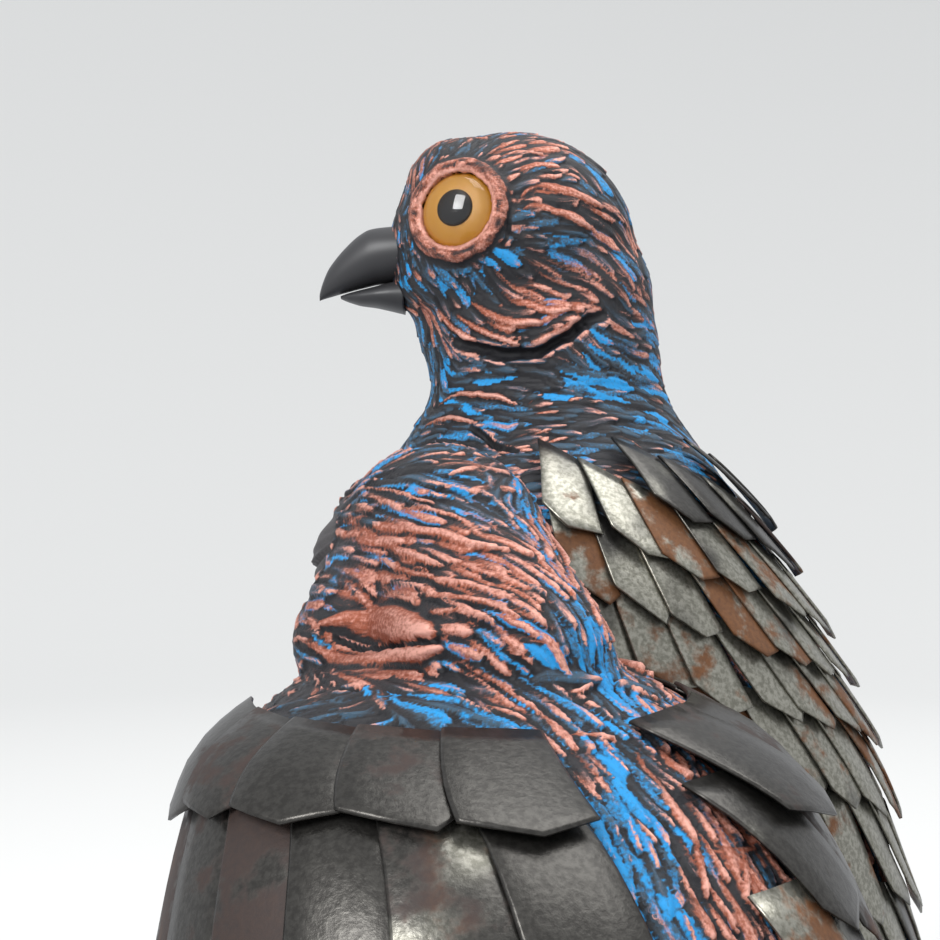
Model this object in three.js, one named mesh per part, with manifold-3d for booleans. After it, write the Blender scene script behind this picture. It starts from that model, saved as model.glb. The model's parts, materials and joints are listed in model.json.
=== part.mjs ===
// Two doves nestled together on a low round base: modelled clay bodies, coats of cut sheet-steel
// feathers, and glass eyes for the taller bird. Millimetres, +Z up, origin at the middle of the
// base's underside. The taller dove faces -X; the nestling one stands nearer -Y and faces away.
import * as THREE from 'three';
import { ConvexGeometry } from 'three/addons/geometries/ConvexGeometry.js';
import { mergeVertices } from 'three/addons/utils/BufferGeometryUtils.js';
import Module from 'manifold-3d';

const wasm = await Module();
wasm.setup();

// Driving dimensions
const baseRadius = 94;
const baseHeight = 18;
const baseBevel = 3;
const seatGap = 0.3; // clear space between touching pieces
const bodyFoot = baseHeight + seatGap;
const steel = 0.5; // thickness of a feather
const lift = 0.7; // a feather root's height over the clay
const bodySides = 26;
const slack = 0.1; // slivers left by the joins are smoothed away within this distance

// Materials
const clayPaint = new THREE.MeshStandardMaterial({ color: 0x6a5560, roughness: 0.55, metalness: 0.3 });
const steelSkin = new THREE.MeshStandardMaterial({ color: 0x8f8c7d, roughness: 0.45, metalness: 0.8 });
const amberGlass = new THREE.MeshStandardMaterial({ color: 0xc98a12, roughness: 0.05, metalness: 0 });
const darkWood = new THREE.MeshStandardMaterial({ color: 0x2b211b, roughness: 0.6, metalness: 0 });

// Each bird is a stack of level sections, top to bottom: height z, reach to the front and to the
// back of the bird's own upright axis, half width, and how far the section leans to the right.
// Lumps are rounds of clay drawn out of the skull: [forward, left, z] of each, then half sizes.
// A wing's rows start at the top line, which drops by slant for each degree towards the back.
const tallDove = {
  name: 'tall_dove',
  axis: [-22, 59],
  heading: 90, // degrees from +Y towards -X
  sections: [
    { z: 195, front: 19, back: 15, side: 13, lean: 0 },
    { z: 185, front: 21, back: 18.5, side: 15.5, lean: 0 },
    { z: 174, front: 18.5, back: 20, side: 16, lean: 0 },
    { z: 166, front: 22.5, back: 24.5, side: 20, lean: 0 },
    { z: 160, front: 26, back: 29, side: 26, lean: 0 },
    { z: 153, front: 30, back: 33.5, side: 31, lean: 0 },
    { z: 143, front: 33, back: 39, side: 34.5, lean: 0 },
    { z: 131, front: 35.5, back: 45, side: 36.5, lean: 0 },
    { z: 115, front: 37, back: 52, side: 37.5, lean: 0 },
    { z: 98, front: 37, back: 56, side: 38, lean: 0 },
    { z: 80, front: 34.5, back: 59.5, side: 37.5, lean: 0 },
    { z: 60, front: 28, back: 61, side: 35, lean: 0 },
    { z: 42, front: 19, back: 60, side: 30.5, lean: 0 },
    { z: 28, front: 8, back: 56, side: 24, lean: 0 },
    { z: bodyFoot, front: -4, back: 50, side: 16, lean: 0 },
  ],
  lumps: [
    [-8, 0, 189, 10.3, 13.5, 12], // back of the head
  ],
  head: {
    centre: [-27.2, 59, 197.6],
    heading: 90,
    pitch: 0,
    size: [20.3, 16.5, 18.8], // half length, half width, half height
    glassEyes: true,
  },
  tail: { root: [66, 56], tip: [98, 25], halfRoot: 13, halfTip: 24 },
  wing: {
    rows: 7, extraRows: 2, topEdge: 164.5, slant: 0.24, front: 84, frontDrift: 0.2, back: 168,
    reach: [15, 15, 16, 18, 21, 26, 36],
    pitch: [9, 9, 10, 12, 14, 18],
    sweep: [4, 22],
    ease: 0, // how much of the sweep is lost towards the last row
    width: 8,
    flat: 17, // a row no longer than this needs no bend half-way
    clear: 0.5, // space left between one row and the next
    tailRoom: 22, // how much earlier, in degrees, the last row stops
  },
};

const nestlingDove = {
  name: 'nestling_dove',
  axis: [-30, -20],
  heading: 31,
  sections: [
    { z: 147, front: 33, back: -9, side: 12, lean: 9 },
    { z: 142, front: 33, back: -3, side: 13, lean: 7.5 },
    { z: 139, front: 33, back: 1, side: 14.5, lean: 5.5 },
    { z: 137.5, front: 33, back: 4, side: 17.5, lean: 4 },
    { z: 136, front: 33, back: 8, side: 21.5, lean: 3 },
    { z: 133, front: 33, back: 13.5, side: 26.5, lean: 2 },
    { z: 129, front: 33, back: 19.5, side: 31, lean: 1.5 },
    { z: 124, front: 33, back: 26, side: 33, lean: 1.2 },
    { z: 117, front: 33, back: 31.5, side: 34.5, lean: 0.8 },
    { z: 104, front: 33, back: 38, side: 36, lean: 0.4 },
    { z: 88, front: 32, back: 43.5, side: 36.5, lean: 0 },
    { z: 68, front: 28, back: 48, side: 36, lean: 0 },
    { z: 48, front: 20, back: 50.5, side: 33, lean: 0 },
    { z: 31, front: 9, back: 49, side: 26.5, lean: 0 },
    { z: bodyFoot, front: -3, back: 43, side: 17, lean: 0 },
  ],
  lumps: [
    [9.5, -5, 139.5, 14, 13, 10], // nape
    [28, 4.5, 139.5, 8.5, 8, 7.5], // ruffled cheek
  ],
  head: {
    centre: [-38, 12.2, 148],
    heading: 32,
    pitch: -16,
    size: [17, 14, 16.5],
    glassEyes: false,
  },
  tail: { root: [56, 48], tip: [82, 25], halfRoot: 11, halfTip: 20 },
  wing: {
    rows: 6, extraRows: 0, topEdge: 133.8, slant: 0, front: 64, frontDrift: 0.3, back: 166,
    reach: [15, 21, 25, 29, 33, 37],
    pitch: [9.5, 13.5, 15, 17, 19],
    sweep: [0, 2],
    ease: 0,
    width: 8.8,
    flat: 0,
    clear: 0.7,
    tailRoom: 10,
    right: { reach: [22, 25, 27, 29, 33, 37], sweep: [-6, -34], ease: 0.9 }, // held a little open
  },
};

const radians = (degrees) => (degrees * Math.PI) / 180;

// Unit vectors of a heading: forward, and to the bird's left.
function compass(heading) {
  const a = radians(heading);
  return {
    forward: new THREE.Vector3(-Math.sin(a), Math.cos(a), 0),
    left: new THREE.Vector3(-Math.cos(a), -Math.sin(a), 0),
  };
}

// A smooth value through the stack of sections at height z (cubic Hermite between stations).
function through(sections, key, z) {
  const last = sections.length - 1;
  let i = sections.findIndex((s) => s.z < z) - 1;
  if (i < -1) i = last - 1;
  i = Math.min(Math.max(i, 0), last - 1);
  const slope = (j) => {
    const a = sections[Math.max(j - 1, 0)];
    const b = sections[Math.min(j + 1, last)];
    return (b[key] - a[key]) / (b.z - a.z);
  };
  const [p, q] = [sections[i], sections[i + 1]];
  const h = q.z - p.z;
  const t = THREE.MathUtils.clamp((z - p.z) / h, 0, 1);
  const t2 = t * t;
  const t3 = t2 * t;
  return (2 * t3 - 3 * t2 + 1) * p[key] + (t3 - 2 * t2 + t) * h * slope(i)
    + (3 * t2 - 2 * t3) * q[key] + (t3 - t2) * h * slope(i + 1);
}

// A point on a bird's skin: height z, angle round the axis (0 front, 90 left, 180 back).
function skin(bird, z, angle) {
  const { forward, left } = compass(bird.heading);
  const [front, back, side, lean] = ['front', 'back', 'side', 'lean'].map(
    (key) => through(bird.sections, key, z));
  const a = radians(angle);
  const f = (front - back) / 2 + ((front + back) / 2) * Math.cos(a);
  const l = side * Math.sin(a) - lean;
  return new THREE.Vector3(bird.axis[0], bird.axis[1], z)
    .addScaledVector(forward, f).addScaledVector(left, l);
}

// The same point lifted off the skin along its normal.
function over(bird, z, angle, height) {
  const up = skin(bird, z + 0.5, angle).sub(skin(bird, z - 0.5, angle));
  const round = skin(bird, z, angle + 0.5).sub(skin(bird, z, angle - 0.5));
  return skin(bird, z, angle).addScaledVector(round.cross(up).normalize(), height);
}

// Walks down the skin by a distance, swept towards the back by some degrees: [z, angle] reached.
function walk(bird, z, angle, distance, sweep) {
  const steps = 8;
  const step = distance / steps;
  for (let i = 0; i < steps; i++) {
    const down = skin(bird, z + 0.5, angle).distanceTo(skin(bird, z - 0.5, angle));
    const round = skin(bird, z, angle + 0.5).distanceTo(skin(bird, z, angle - 0.5));
    z = Math.max(z - (step * Math.cos(radians(sweep))) / down, bodyFoot + 8);
    const turn = (step * Math.sin(radians(sweep))) / round;
    angle = THREE.MathUtils.clamp(angle + turn, -177, 177);
  }
  return [z, angle];
}

// A closed geometry from corner points and outward triangles.
function faceted(points, triangles) {
  const geometry = new THREE.BufferGeometry();
  const flat = points.flatMap((p) => [p.x, p.y, p.z]);
  geometry.setAttribute('position', new THREE.Float32BufferAttribute(flat, 3));
  geometry.setIndex(triangles.flat());
  return geometry;
}

// Closed loft through rings of equal length, with a flat fan at each end. Rings run anticlockwise
// seen from the end of the loft.
function loft(rings) {
  const n = rings[0].length;
  const points = rings.flat();
  const centre = (ring) => ring.reduce((s, p) => s.add(p), new THREE.Vector3()).divideScalar(n);
  const first = points.push(centre(rings[0])) - 1;
  const last = points.push(centre(rings.at(-1))) - 1;
  const tail = (rings.length - 1) * n;
  const triangles = [];
  for (let j = 0; j < n; j++) {
    const k = (j + 1) % n;
    triangles.push([first, k, j], [last, tail + j, tail + k]);
    for (let i = 0; i + 1 < rings.length; i++) {
      const [a, b, c, d] = [i * n + j, i * n + k, (i + 1) * n + j, (i + 1) * n + k];
      triangles.push([a, b, d], [a, d, c]);
    }
  }
  return faceted(points, triangles);
}

// Booleans: a closed geometry as a solid, and back.
function solid(geometry) {
  const bare = geometry.clone();
  bare.deleteAttribute('normal');
  bare.deleteAttribute('uv');
  const merged = mergeVertices(bare, 1e-4);
  const made = new wasm.Manifold(new wasm.Mesh({
    numProp: 3,
    vertProperties: merged.attributes.position.array,
    triVerts: new Uint32Array(merged.index.array),
  }));
  if (made.volume() <= 0) throw new Error('a joined form is inside out');
  return made;
}

function geometryOf(shape) {
  const mesh = shape.getMesh();
  const geometry = new THREE.BufferGeometry();
  geometry.setAttribute('position', new THREE.BufferAttribute(mesh.vertProperties, 3));
  geometry.setIndex(new THREE.BufferAttribute(mesh.triVerts, 1));
  return geometry;
}

// Matrix from a head's own frame (forward, left, up) to the part's frame.
function headFrame(head) {
  const { forward, left } = compass(head.heading);
  const up = new THREE.Vector3(0, 0, 1);
  const turn = new THREE.Matrix4().makeRotationAxis(left, -radians(head.pitch));
  return new THREE.Matrix4().makeTranslation(...head.centre)
    .multiply(turn).multiply(new THREE.Matrix4().makeBasis(forward, left, up));
}

// An ellipsoid lump of clay in the head's frame.
function lump(centre, radii, across = 12, high = 8) {
  return new THREE.SphereGeometry(1, across, high)
    .rotateX(Math.PI / 2).scale(...radii).translate(...centre);
}

// The beak in the head's frame: a curved culmen over a nearly straight lower edge.
function beak([length, , height]) {
  const base = 0.78 * length;
  const reach = 0.76 * length;
  const top = 0.28 * height;
  const bottom = -0.58 * height;
  const tipZ = -0.46 * height;
  const rings = [];
  const steps = 6;
  const sides = 12;
  for (let i = 0; i <= steps; i++) {
    const t = Math.sin((i / steps) * Math.PI * 0.47);
    const arch = Math.sqrt(1 - t * t);
    const high = tipZ + (top - tipZ) * arch;
    const low = bottom + (tipZ - bottom) * t * t - 0.4;
    const half = 0.36 * length * Math.pow(arch, 0.8);
    rings.push(Array.from({ length: sides }, (_, j) => {
      const a = (j / sides) * 2 * Math.PI;
      return new THREE.Vector3(base + reach * t, half * Math.cos(a),
        (high + low) / 2 + ((high - low) / 2) * Math.sin(a));
    }));
  }
  return loft(rings);
}

// Where a head's eye looks out: unit direction in the head's frame, for side +1 left or -1 right.
const eyeAim = (side) => new THREE.Vector3(0.38, 0.91 * side, 0.14).normalize();

// Centre of the eye's flat back in the head's frame.
function eyeSeat({ size }, side) {
  const [a, b, c] = size;
  const aim = new THREE.Vector3(0.45 * a, 0, 0.21 * c);
  const rest = 1 - (aim.x / a) ** 2 - (aim.z / c) ** 2;
  return aim.setY(side * b * Math.sqrt(rest)).addScaledVector(eyeAim(side), -3.6);
}

// Turns a piece made along +Z to look along aim from seat.
function aimed(geometry, seat, aim) {
  const turn = new THREE.Quaternion().setFromUnitVectors(new THREE.Vector3(0, 0, 1), aim);
  return geometry.applyQuaternion(turn).translate(seat.x, seat.y, seat.z);
}

const eyeRadius = 6.1;
const eyeDome = 5.2; // from the flat back to the top of the cornea

// A glass eye on +Z: flat back, short rim, domed front. Grown by gap it is its own socket.
function glassEye(gap) {
  const r = eyeRadius + gap;
  const profile = [new THREE.Vector2(0, -gap), new THREE.Vector2(r, -gap)];
  const steps = 4;
  for (let i = 0; i <= steps; i++) {
    const a = (i / steps) * (Math.PI / 2);
    profile.push(new THREE.Vector2(i === steps ? 0 : r * Math.cos(a),
      1.6 + (eyeDome - 1.6 + gap) * Math.sin(a)));
  }
  return new THREE.LatheGeometry(profile, 18).rotateX(Math.PI / 2);
}

// A whole head in its own frame: skull, jaw, cheeks, beak, cere, and eye rings or shut lids.
function headSolid(head) {
  const [a, b, c] = head.size;
  let shape = solid(lump([0, 0, 0], [a, b, c], 24, 15));
  const join = (geometry) => {
    shape = shape.add(solid(geometry));
  };
  join(lump([0.42 * a, 0, 0.46 * c], [0.45 * a, 0.78 * b, 0.49 * c]));
  join(lump([0.42 * a, 0, -0.3 * c], [0.56 * a, 0.74 * b, 0.42 * c]));
  join(beak(head.size));
  for (const side of [1, -1]) {
    join(lump([-0.02 * a, side * 0.36 * b, -0.48 * c], [0.66 * a, 0.55 * b, 0.42 * c]));
    join(lump([1.04 * a, side * 0.13 * b, 0.14 * c], [0.2 * a, 0.17 * b, 0.15 * c], 10, 8));
    const seat = eyeSeat(head, side);
    if (head.glassEyes) {
      const ring = new THREE.TorusGeometry(eyeRadius + 1.1, 1.3, 6, 18);
      join(aimed(ring, seat.clone().addScaledVector(eyeAim(side), 2.3), eyeAim(side)));
    } else {
      join(aimed(lump([0, 0, 0], [5.4, 5.4, 3.6], 12, 8),
        seat.clone().addScaledVector(eyeAim(side), 2.4), eyeAim(side)));
    }
  }
  return shape;
}

// Carries a solid from a head's own frame to the part's frame.
const mounted = (shape, head) => solid(geometryOf(shape).applyMatrix4(headFrame(head)));

// Levels at which a body has a ring of corners: every section, and one between where it curves.
function ringLevels(sections) {
  const levels = [];
  sections.forEach((s, i) => {
    levels.push(s.z);
    const next = sections[i + 1];
    if (next && s.z - next.z > 15) levels.push((s.z + next.z) / 2);
  });
  return levels;
}

function bodyLoft(bird) {
  const rings = ringLevels(bird.sections).map((z) => Array.from({ length: bodySides },
    (_, j) => skin(bird, z, (-j / bodySides) * 360)));
  return loft(rings);
}

// The rump: a wedge of clay under the tail feathers, in the part's frame.
function tailPoint(bird, s, across, height) {
  const { forward, left } = compass(bird.heading);
  const { root, tip, halfRoot, halfTip } = bird.tail;
  const run = new THREE.Vector2(tip[0] - root[0], tip[1] - root[1]);
  const normal = new THREE.Vector2(-run.y, run.x).normalize();
  const half = halfRoot + (halfTip - halfRoot) * s;
  const back = root[0] + run.x * s + normal.x * height;
  const z = root[1] + run.y * s + normal.y * height;
  return new THREE.Vector3(bird.axis[0], bird.axis[1], z)
    .addScaledVector(forward, -back).addScaledVector(left, half * across);
}

function rump(bird) {
  const ends = [-0.25, 0.62];
  const sides = 10;
  const rings = ends.map((s, i) => Array.from({ length: sides }, (_, j) => {
    const a = (-j / sides) * 2 * Math.PI;
    const thick = i === 0 ? 9 : 3;
    return tailPoint(bird, s, 0.86 * Math.cos(a), -thick - 0.9 + thick * Math.sin(a));
  }));
  return loft(rings);
}

// A lump of clay placed by its distance forward and left of the bird's axis, and its height.
function bodyLump(bird, [ahead, aside, z, ...radii]) {
  const { forward, left } = compass(bird.heading);
  const centre = new THREE.Vector3(bird.axis[0], bird.axis[1], z)
    .addScaledVector(forward, ahead).addScaledVector(left, aside);
  const turn = new THREE.Matrix4().makeBasis(forward, left, new THREE.Vector3(0, 0, 1));
  return lump([0, 0, 0], radii, 14, 9).applyMatrix4(turn).translate(...centre);
}

// The clay drawn out of the skull to a lump: the convex skin round both.
function drawnOut(skull, round) {
  const points = [skull, round].flatMap(({ attributes: { position } }) => Array.from(
    { length: position.count }, (_, i) => new THREE.Vector3().fromBufferAttribute(position, i)));
  return new ConvexGeometry(points);
}

function dove(bird) {
  const { head } = bird;
  const skull = lump([0, 0, 0], head.size.map((r) => 0.94 * r), 18, 10)
    .applyMatrix4(headFrame(head));
  let shape = solid(bodyLoft(bird)).add(mounted(headSolid(head), head)).add(solid(rump(bird)));
  for (const round of bird.lumps) {
    shape = shape.add(solid(drawnOut(skull, bodyLump(bird, round))));
  }
  for (const side of head.glassEyes ? [1, -1] : []) {
    const socket = aimed(glassEye(seatGap), eyeSeat(head, side), eyeAim(side));
    shape = shape.subtract(mounted(solid(socket), head));
  }
  const mesh = new THREE.Mesh(geometryOf(shape.simplify(slack)), clayPaint);
  mesh.name = `${bird.name}_body`;
  return mesh;
}

// Glass eyes of a bird that has them
function eyes(bird) {
  return [1, -1].map((side) => {
    const geometry = aimed(glassEye(0), eyeSeat(bird.head, side), eyeAim(side))
      .applyMatrix4(headFrame(bird.head));
    geometry.deleteAttribute('normal');
    geometry.deleteAttribute('uv');
    const mesh = new THREE.Mesh(mergeVertices(geometry, 1e-4), amberGlass);
    mesh.name = `${bird.name}_${side > 0 ? 'left' : 'right'}_eye`;
    return mesh;
  });
}

// One row of feathers as one closed band: a straight root edge and a saw-toothed lower edge.
// side is +1 for the left wing and -1 for the right.
function featherRow(bird, side, row) {
  const wing = side > 0 ? bird.wing : { ...bird.wing, ...bird.wing.right };
  const index = Math.max(row, 0);
  const length = wing.reach[index];
  const pitch = wing.pitch[Math.min(index, wing.pitch.length - 1)];
  const drop = row < 0 ? row * wing.pitch[0]
    : wing.pitch.slice(0, row).reduce((sum, p) => sum + p, 0);
  const rootZ = (angle) => walk(bird, wing.topEdge - wing.slant * (angle - wing.front),
    side * angle, drop, 0)[0];
  let start = wing.front + (row > 0 ? wing.frontDrift * drop : 0);
  while (rootZ(start) > wing.topEdge + 0.5) start += 2;
  const rear = wing.back - (row === wing.rows - 1 ? wing.tailRoom : 0);
  const span = rear - start;
  const edge = (angle) => skin(bird, rootZ(angle), side * angle);
  const marks = Array.from({ length: 9 }, (_, i) => edge(start + (i / 8) * span));
  const girth = marks.slice(1).reduce((sum, p, i) => sum + p.distanceTo(marks[i]), 0);
  const count = Math.max(2, Math.round(girth / wing.width));
  const step = span / count;
  const rise = (steel + wing.clear) / pitch;
  const points = [];
  const triangles = [];
  const corner = (angle, down) => {
    const share = (angle - wing.front) / (wing.back - wing.front);
    const full = wing.sweep[0] + (wing.sweep[1] - wing.sweep[0]) * share;
    const sweep = full * (1 - (wing.ease * index) / (wing.rows - 1));
    const [z, turned] = walk(bird, rootZ(angle), angle * side, down, side * sweep);
    const height = lift + rise * down;
    points.push(over(bird, z, turned, height + steel), over(bird, z, turned, height));
    return points.length - 2;
  };
  const parts = length > wing.flat ? 2 : 1;
  const straight = 0.8 * length;
  const edges = Array.from({ length: count + 1 }, (_, i) => Array.from({ length: parts + 1 },
    (__, k) => corner(start + i * step, (straight * k) / parts)));
  const tips = Array.from({ length: count }, (_, i) => corner(start + (i + 0.5) * step, length));
  const both = (a, b, c) => triangles.push([a, b, c], [a + 1, c + 1, b + 1]);
  const wall = (a, b) => triangles.push([a, a + 1, b + 1], [a, b + 1, b]);
  for (let i = 0; i < count; i++) {
    const [l, r] = [edges[i], edges[i + 1]];
    for (let k = 0; k < parts; k++) {
      both(l[k], l[k + 1], r[k + 1]);
      both(l[k], r[k + 1], r[k]);
    }
    both(l[parts], tips[i], r[parts]);
    wall(l[parts], tips[i]);
    wall(tips[i], r[parts]);
    wall(r[0], l[0]);
  }
  for (let k = 0; k < parts; k++) {
    wall(edges[0][k], edges[0][k + 1]);
    wall(edges[count][k + 1], edges[count][k]);
  }
  return faceted(points, side > 0 ? triangles : triangles.map(([a, b, c]) => [a, c, b]));
}

function wingRows(bird) {
  const rows = [];
  for (const [side, word] of [[1, 'left'], [-1, 'right']]) {
    for (let row = -bird.wing.extraRows; row < bird.wing.rows; row++) {
      const mesh = new THREE.Mesh(featherRow(bird, side, row), steelSkin);
      mesh.name = `${bird.name}_${word}_wing_row_${row + bird.wing.extraRows + 1}`;
      rows.push(mesh);
    }
  }
  return rows;
}

// Tail feathers: long steel strips fanned over the rump, the middle one on top.
function tailFeathers(bird) {
  const spread = [-2, -1, 0, 1, 2];
  const halfWidth = 0.24;
  return spread.map((place, number) => {
    const layer = (2 - Math.abs(place)) * 0.9;
    const outline = [[0, -0.9], [0.55, -1], [0.9, -1], [1, 0], [0.9, 1], [0.55, 1], [0, 0.9]];
    const points = outline.flatMap(([s, w]) => [steel, 0].map((t) => tailPoint(bird, s,
      place * 0.38 + w * halfWidth, layer + t)));
    const n = outline.length;
    const triangles = [];
    for (let i = 1; i + 1 < n; i++) {
      triangles.push([0, 2 * i + 2, 2 * i], [1, 2 * i + 1, 2 * i + 3]);
    }
    for (let i = 0; i < n; i++) {
      const k = (i + 1) % n;
      triangles.push([2 * i, 2 * k + 1, 2 * i + 1], [2 * i, 2 * k, 2 * k + 1]);
    }
    const mesh = new THREE.Mesh(faceted(points, triangles), steelSkin);
    mesh.name = `${bird.name}_tail_feather_${number + 1}`;
    return mesh;
  });
}

function base() {
  const profile = [[0, 0], [baseRadius - baseBevel, 0], [baseRadius, baseBevel],
    [baseRadius, baseHeight - baseBevel], [baseRadius - baseBevel, baseHeight], [0, baseHeight]]
    .map(([r, z]) => new THREE.Vector2(r, z));
  const geometry = new THREE.LatheGeometry(profile, 44).rotateX(Math.PI / 2);
  geometry.deleteAttribute('normal');
  geometry.deleteAttribute('uv');
  const mesh = new THREE.Mesh(mergeVertices(geometry, 1e-4), darkWood);
  mesh.name = 'base';
  return mesh;
}

const sculpture = new THREE.Group();
sculpture.add(base());
for (const bird of [tallDove, nestlingDove]) {
  sculpture.add(dove(bird), ...wingRows(bird), ...tailFeathers(bird));
}
sculpture.add(...eyes(tallDove));
export default sculpture;
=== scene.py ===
# %% [markdown]
# # Two doves nestled together, modelled clay with steel feathers
# A mixed-media sculpture: two clay birds on a low turned base. The clay is carved in short
# feather strokes and painted black, then blue, then dry-brushed with copper. The wings and
# tails are rows of small feathers cut from thin steel sheet, browned and blackened by heat.
# The taller bird has glass eyes. Every form is worked out in millimetres in the same frame
# as the CAD part and is turned into metres only when a mesh is made.

# %% Load the CAD part
import json
import math

import bmesh
import bpy
import numpy as np
from mathutils import Matrix, Vector
from mathutils.bvhtree import BVHTree
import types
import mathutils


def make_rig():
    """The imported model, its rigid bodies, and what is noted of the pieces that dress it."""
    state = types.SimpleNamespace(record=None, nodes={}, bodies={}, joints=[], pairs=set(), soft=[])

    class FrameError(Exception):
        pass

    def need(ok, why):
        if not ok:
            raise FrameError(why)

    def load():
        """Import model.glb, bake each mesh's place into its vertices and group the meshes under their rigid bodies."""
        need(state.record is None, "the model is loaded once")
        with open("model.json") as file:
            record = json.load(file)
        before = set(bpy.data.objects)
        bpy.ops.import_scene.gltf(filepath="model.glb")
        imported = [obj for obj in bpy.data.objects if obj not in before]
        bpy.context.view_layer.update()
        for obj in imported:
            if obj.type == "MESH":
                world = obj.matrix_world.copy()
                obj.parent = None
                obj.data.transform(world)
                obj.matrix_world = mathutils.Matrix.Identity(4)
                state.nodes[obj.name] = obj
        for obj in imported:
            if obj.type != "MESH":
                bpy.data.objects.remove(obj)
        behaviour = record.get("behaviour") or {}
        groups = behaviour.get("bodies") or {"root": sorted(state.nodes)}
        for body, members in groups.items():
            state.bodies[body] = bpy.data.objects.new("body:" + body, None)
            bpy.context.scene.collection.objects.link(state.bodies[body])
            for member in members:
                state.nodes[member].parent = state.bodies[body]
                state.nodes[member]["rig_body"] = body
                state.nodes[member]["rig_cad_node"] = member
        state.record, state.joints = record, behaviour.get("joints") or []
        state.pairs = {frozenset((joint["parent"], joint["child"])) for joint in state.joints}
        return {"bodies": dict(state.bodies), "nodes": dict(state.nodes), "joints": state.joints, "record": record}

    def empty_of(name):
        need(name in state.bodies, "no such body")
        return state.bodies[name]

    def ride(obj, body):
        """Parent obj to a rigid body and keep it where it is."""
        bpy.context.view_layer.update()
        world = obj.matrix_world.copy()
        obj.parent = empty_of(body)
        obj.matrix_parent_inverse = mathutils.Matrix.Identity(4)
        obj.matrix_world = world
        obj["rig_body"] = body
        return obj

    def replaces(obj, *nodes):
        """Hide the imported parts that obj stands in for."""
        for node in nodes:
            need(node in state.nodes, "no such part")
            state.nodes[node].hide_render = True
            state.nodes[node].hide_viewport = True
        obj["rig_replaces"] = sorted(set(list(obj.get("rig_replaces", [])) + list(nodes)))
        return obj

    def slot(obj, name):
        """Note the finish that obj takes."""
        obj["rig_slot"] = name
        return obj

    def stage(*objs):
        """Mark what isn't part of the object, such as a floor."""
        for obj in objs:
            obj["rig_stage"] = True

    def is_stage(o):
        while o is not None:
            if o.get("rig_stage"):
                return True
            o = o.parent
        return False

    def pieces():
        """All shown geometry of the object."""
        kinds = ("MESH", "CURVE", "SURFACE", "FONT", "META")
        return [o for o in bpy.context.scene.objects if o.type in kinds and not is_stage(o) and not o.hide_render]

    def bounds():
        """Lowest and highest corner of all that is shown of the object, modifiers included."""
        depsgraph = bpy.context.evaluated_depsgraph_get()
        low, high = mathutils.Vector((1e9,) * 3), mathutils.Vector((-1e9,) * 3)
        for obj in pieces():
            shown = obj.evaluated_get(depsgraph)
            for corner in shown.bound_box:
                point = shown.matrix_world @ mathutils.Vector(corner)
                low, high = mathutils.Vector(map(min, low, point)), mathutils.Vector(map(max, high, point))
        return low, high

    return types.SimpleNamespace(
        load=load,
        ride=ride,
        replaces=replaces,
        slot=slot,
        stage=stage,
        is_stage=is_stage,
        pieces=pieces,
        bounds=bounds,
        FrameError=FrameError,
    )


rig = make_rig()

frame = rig.load()
cad_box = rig.bounds()
MM = 0.001
rng = np.random.default_rng(7)
print("CAD box", [list(corner) for corner in cad_box])

# %% [markdown]
# ## The two birds in numbers
# Each bird is a stack of level egg-shaped sections: height, reach to the front and to the back
# of its own upright axis, half width, and how far the section leans to the right. These are the
# same numbers as in the CAD part, because the steel feathers have to sit on the same skin.

# %% Dimensions of both birds, in millimetres
BODY_FOOT = 18.3
STEEL = 0.5
LIFT = 0.7

TALL = {
    "name": "tall_dove",
    "axis": (-22, 59),
    "heading": 90,
    "sections": [
        (195, 19, 15, 13, 0), (185, 21, 18.5, 15.5, 0), (174, 18.5, 20, 16, 0),
        (166, 22.5, 24.5, 20, 0), (160, 26, 29, 26, 0), (153, 30, 33.5, 31, 0),
        (143, 33, 39, 34.5, 0), (131, 35.5, 45, 36.5, 0), (115, 37, 52, 37.5, 0),
        (98, 37, 56, 38, 0), (80, 34.5, 59.5, 37.5, 0), (60, 28, 61, 35, 0),
        (42, 19, 60, 30.5, 0), (28, 8, 56, 24, 0), (BODY_FOOT, -4, 50, 16, 0),
    ],
    "lumps": [(-8, 0, 189, 10.3, 13.5, 12)],
    "head": {"centre": (-27.2, 59, 197.6), "heading": 90, "pitch": 0,
             "size": (20.3, 16.5, 18.8), "glass_eyes": True},
    "tail": {"root": (66, 56), "tip": (98, 25), "half_root": 13, "half_tip": 24},
    "wing": {
        "rows": 7, "extra": 2, "top": 164.5, "slant": 0.24, "front": 84, "drift": 0.2,
        "back": 168, "reach": (15, 15, 16, 18, 21, 26, 36), "pitch": (9, 9, 10, 12, 14, 18),
        "sweep": (4, 22), "ease": 0, "width": 8, "clear": 0.5, "tail_room": 22,
    },
}
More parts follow.
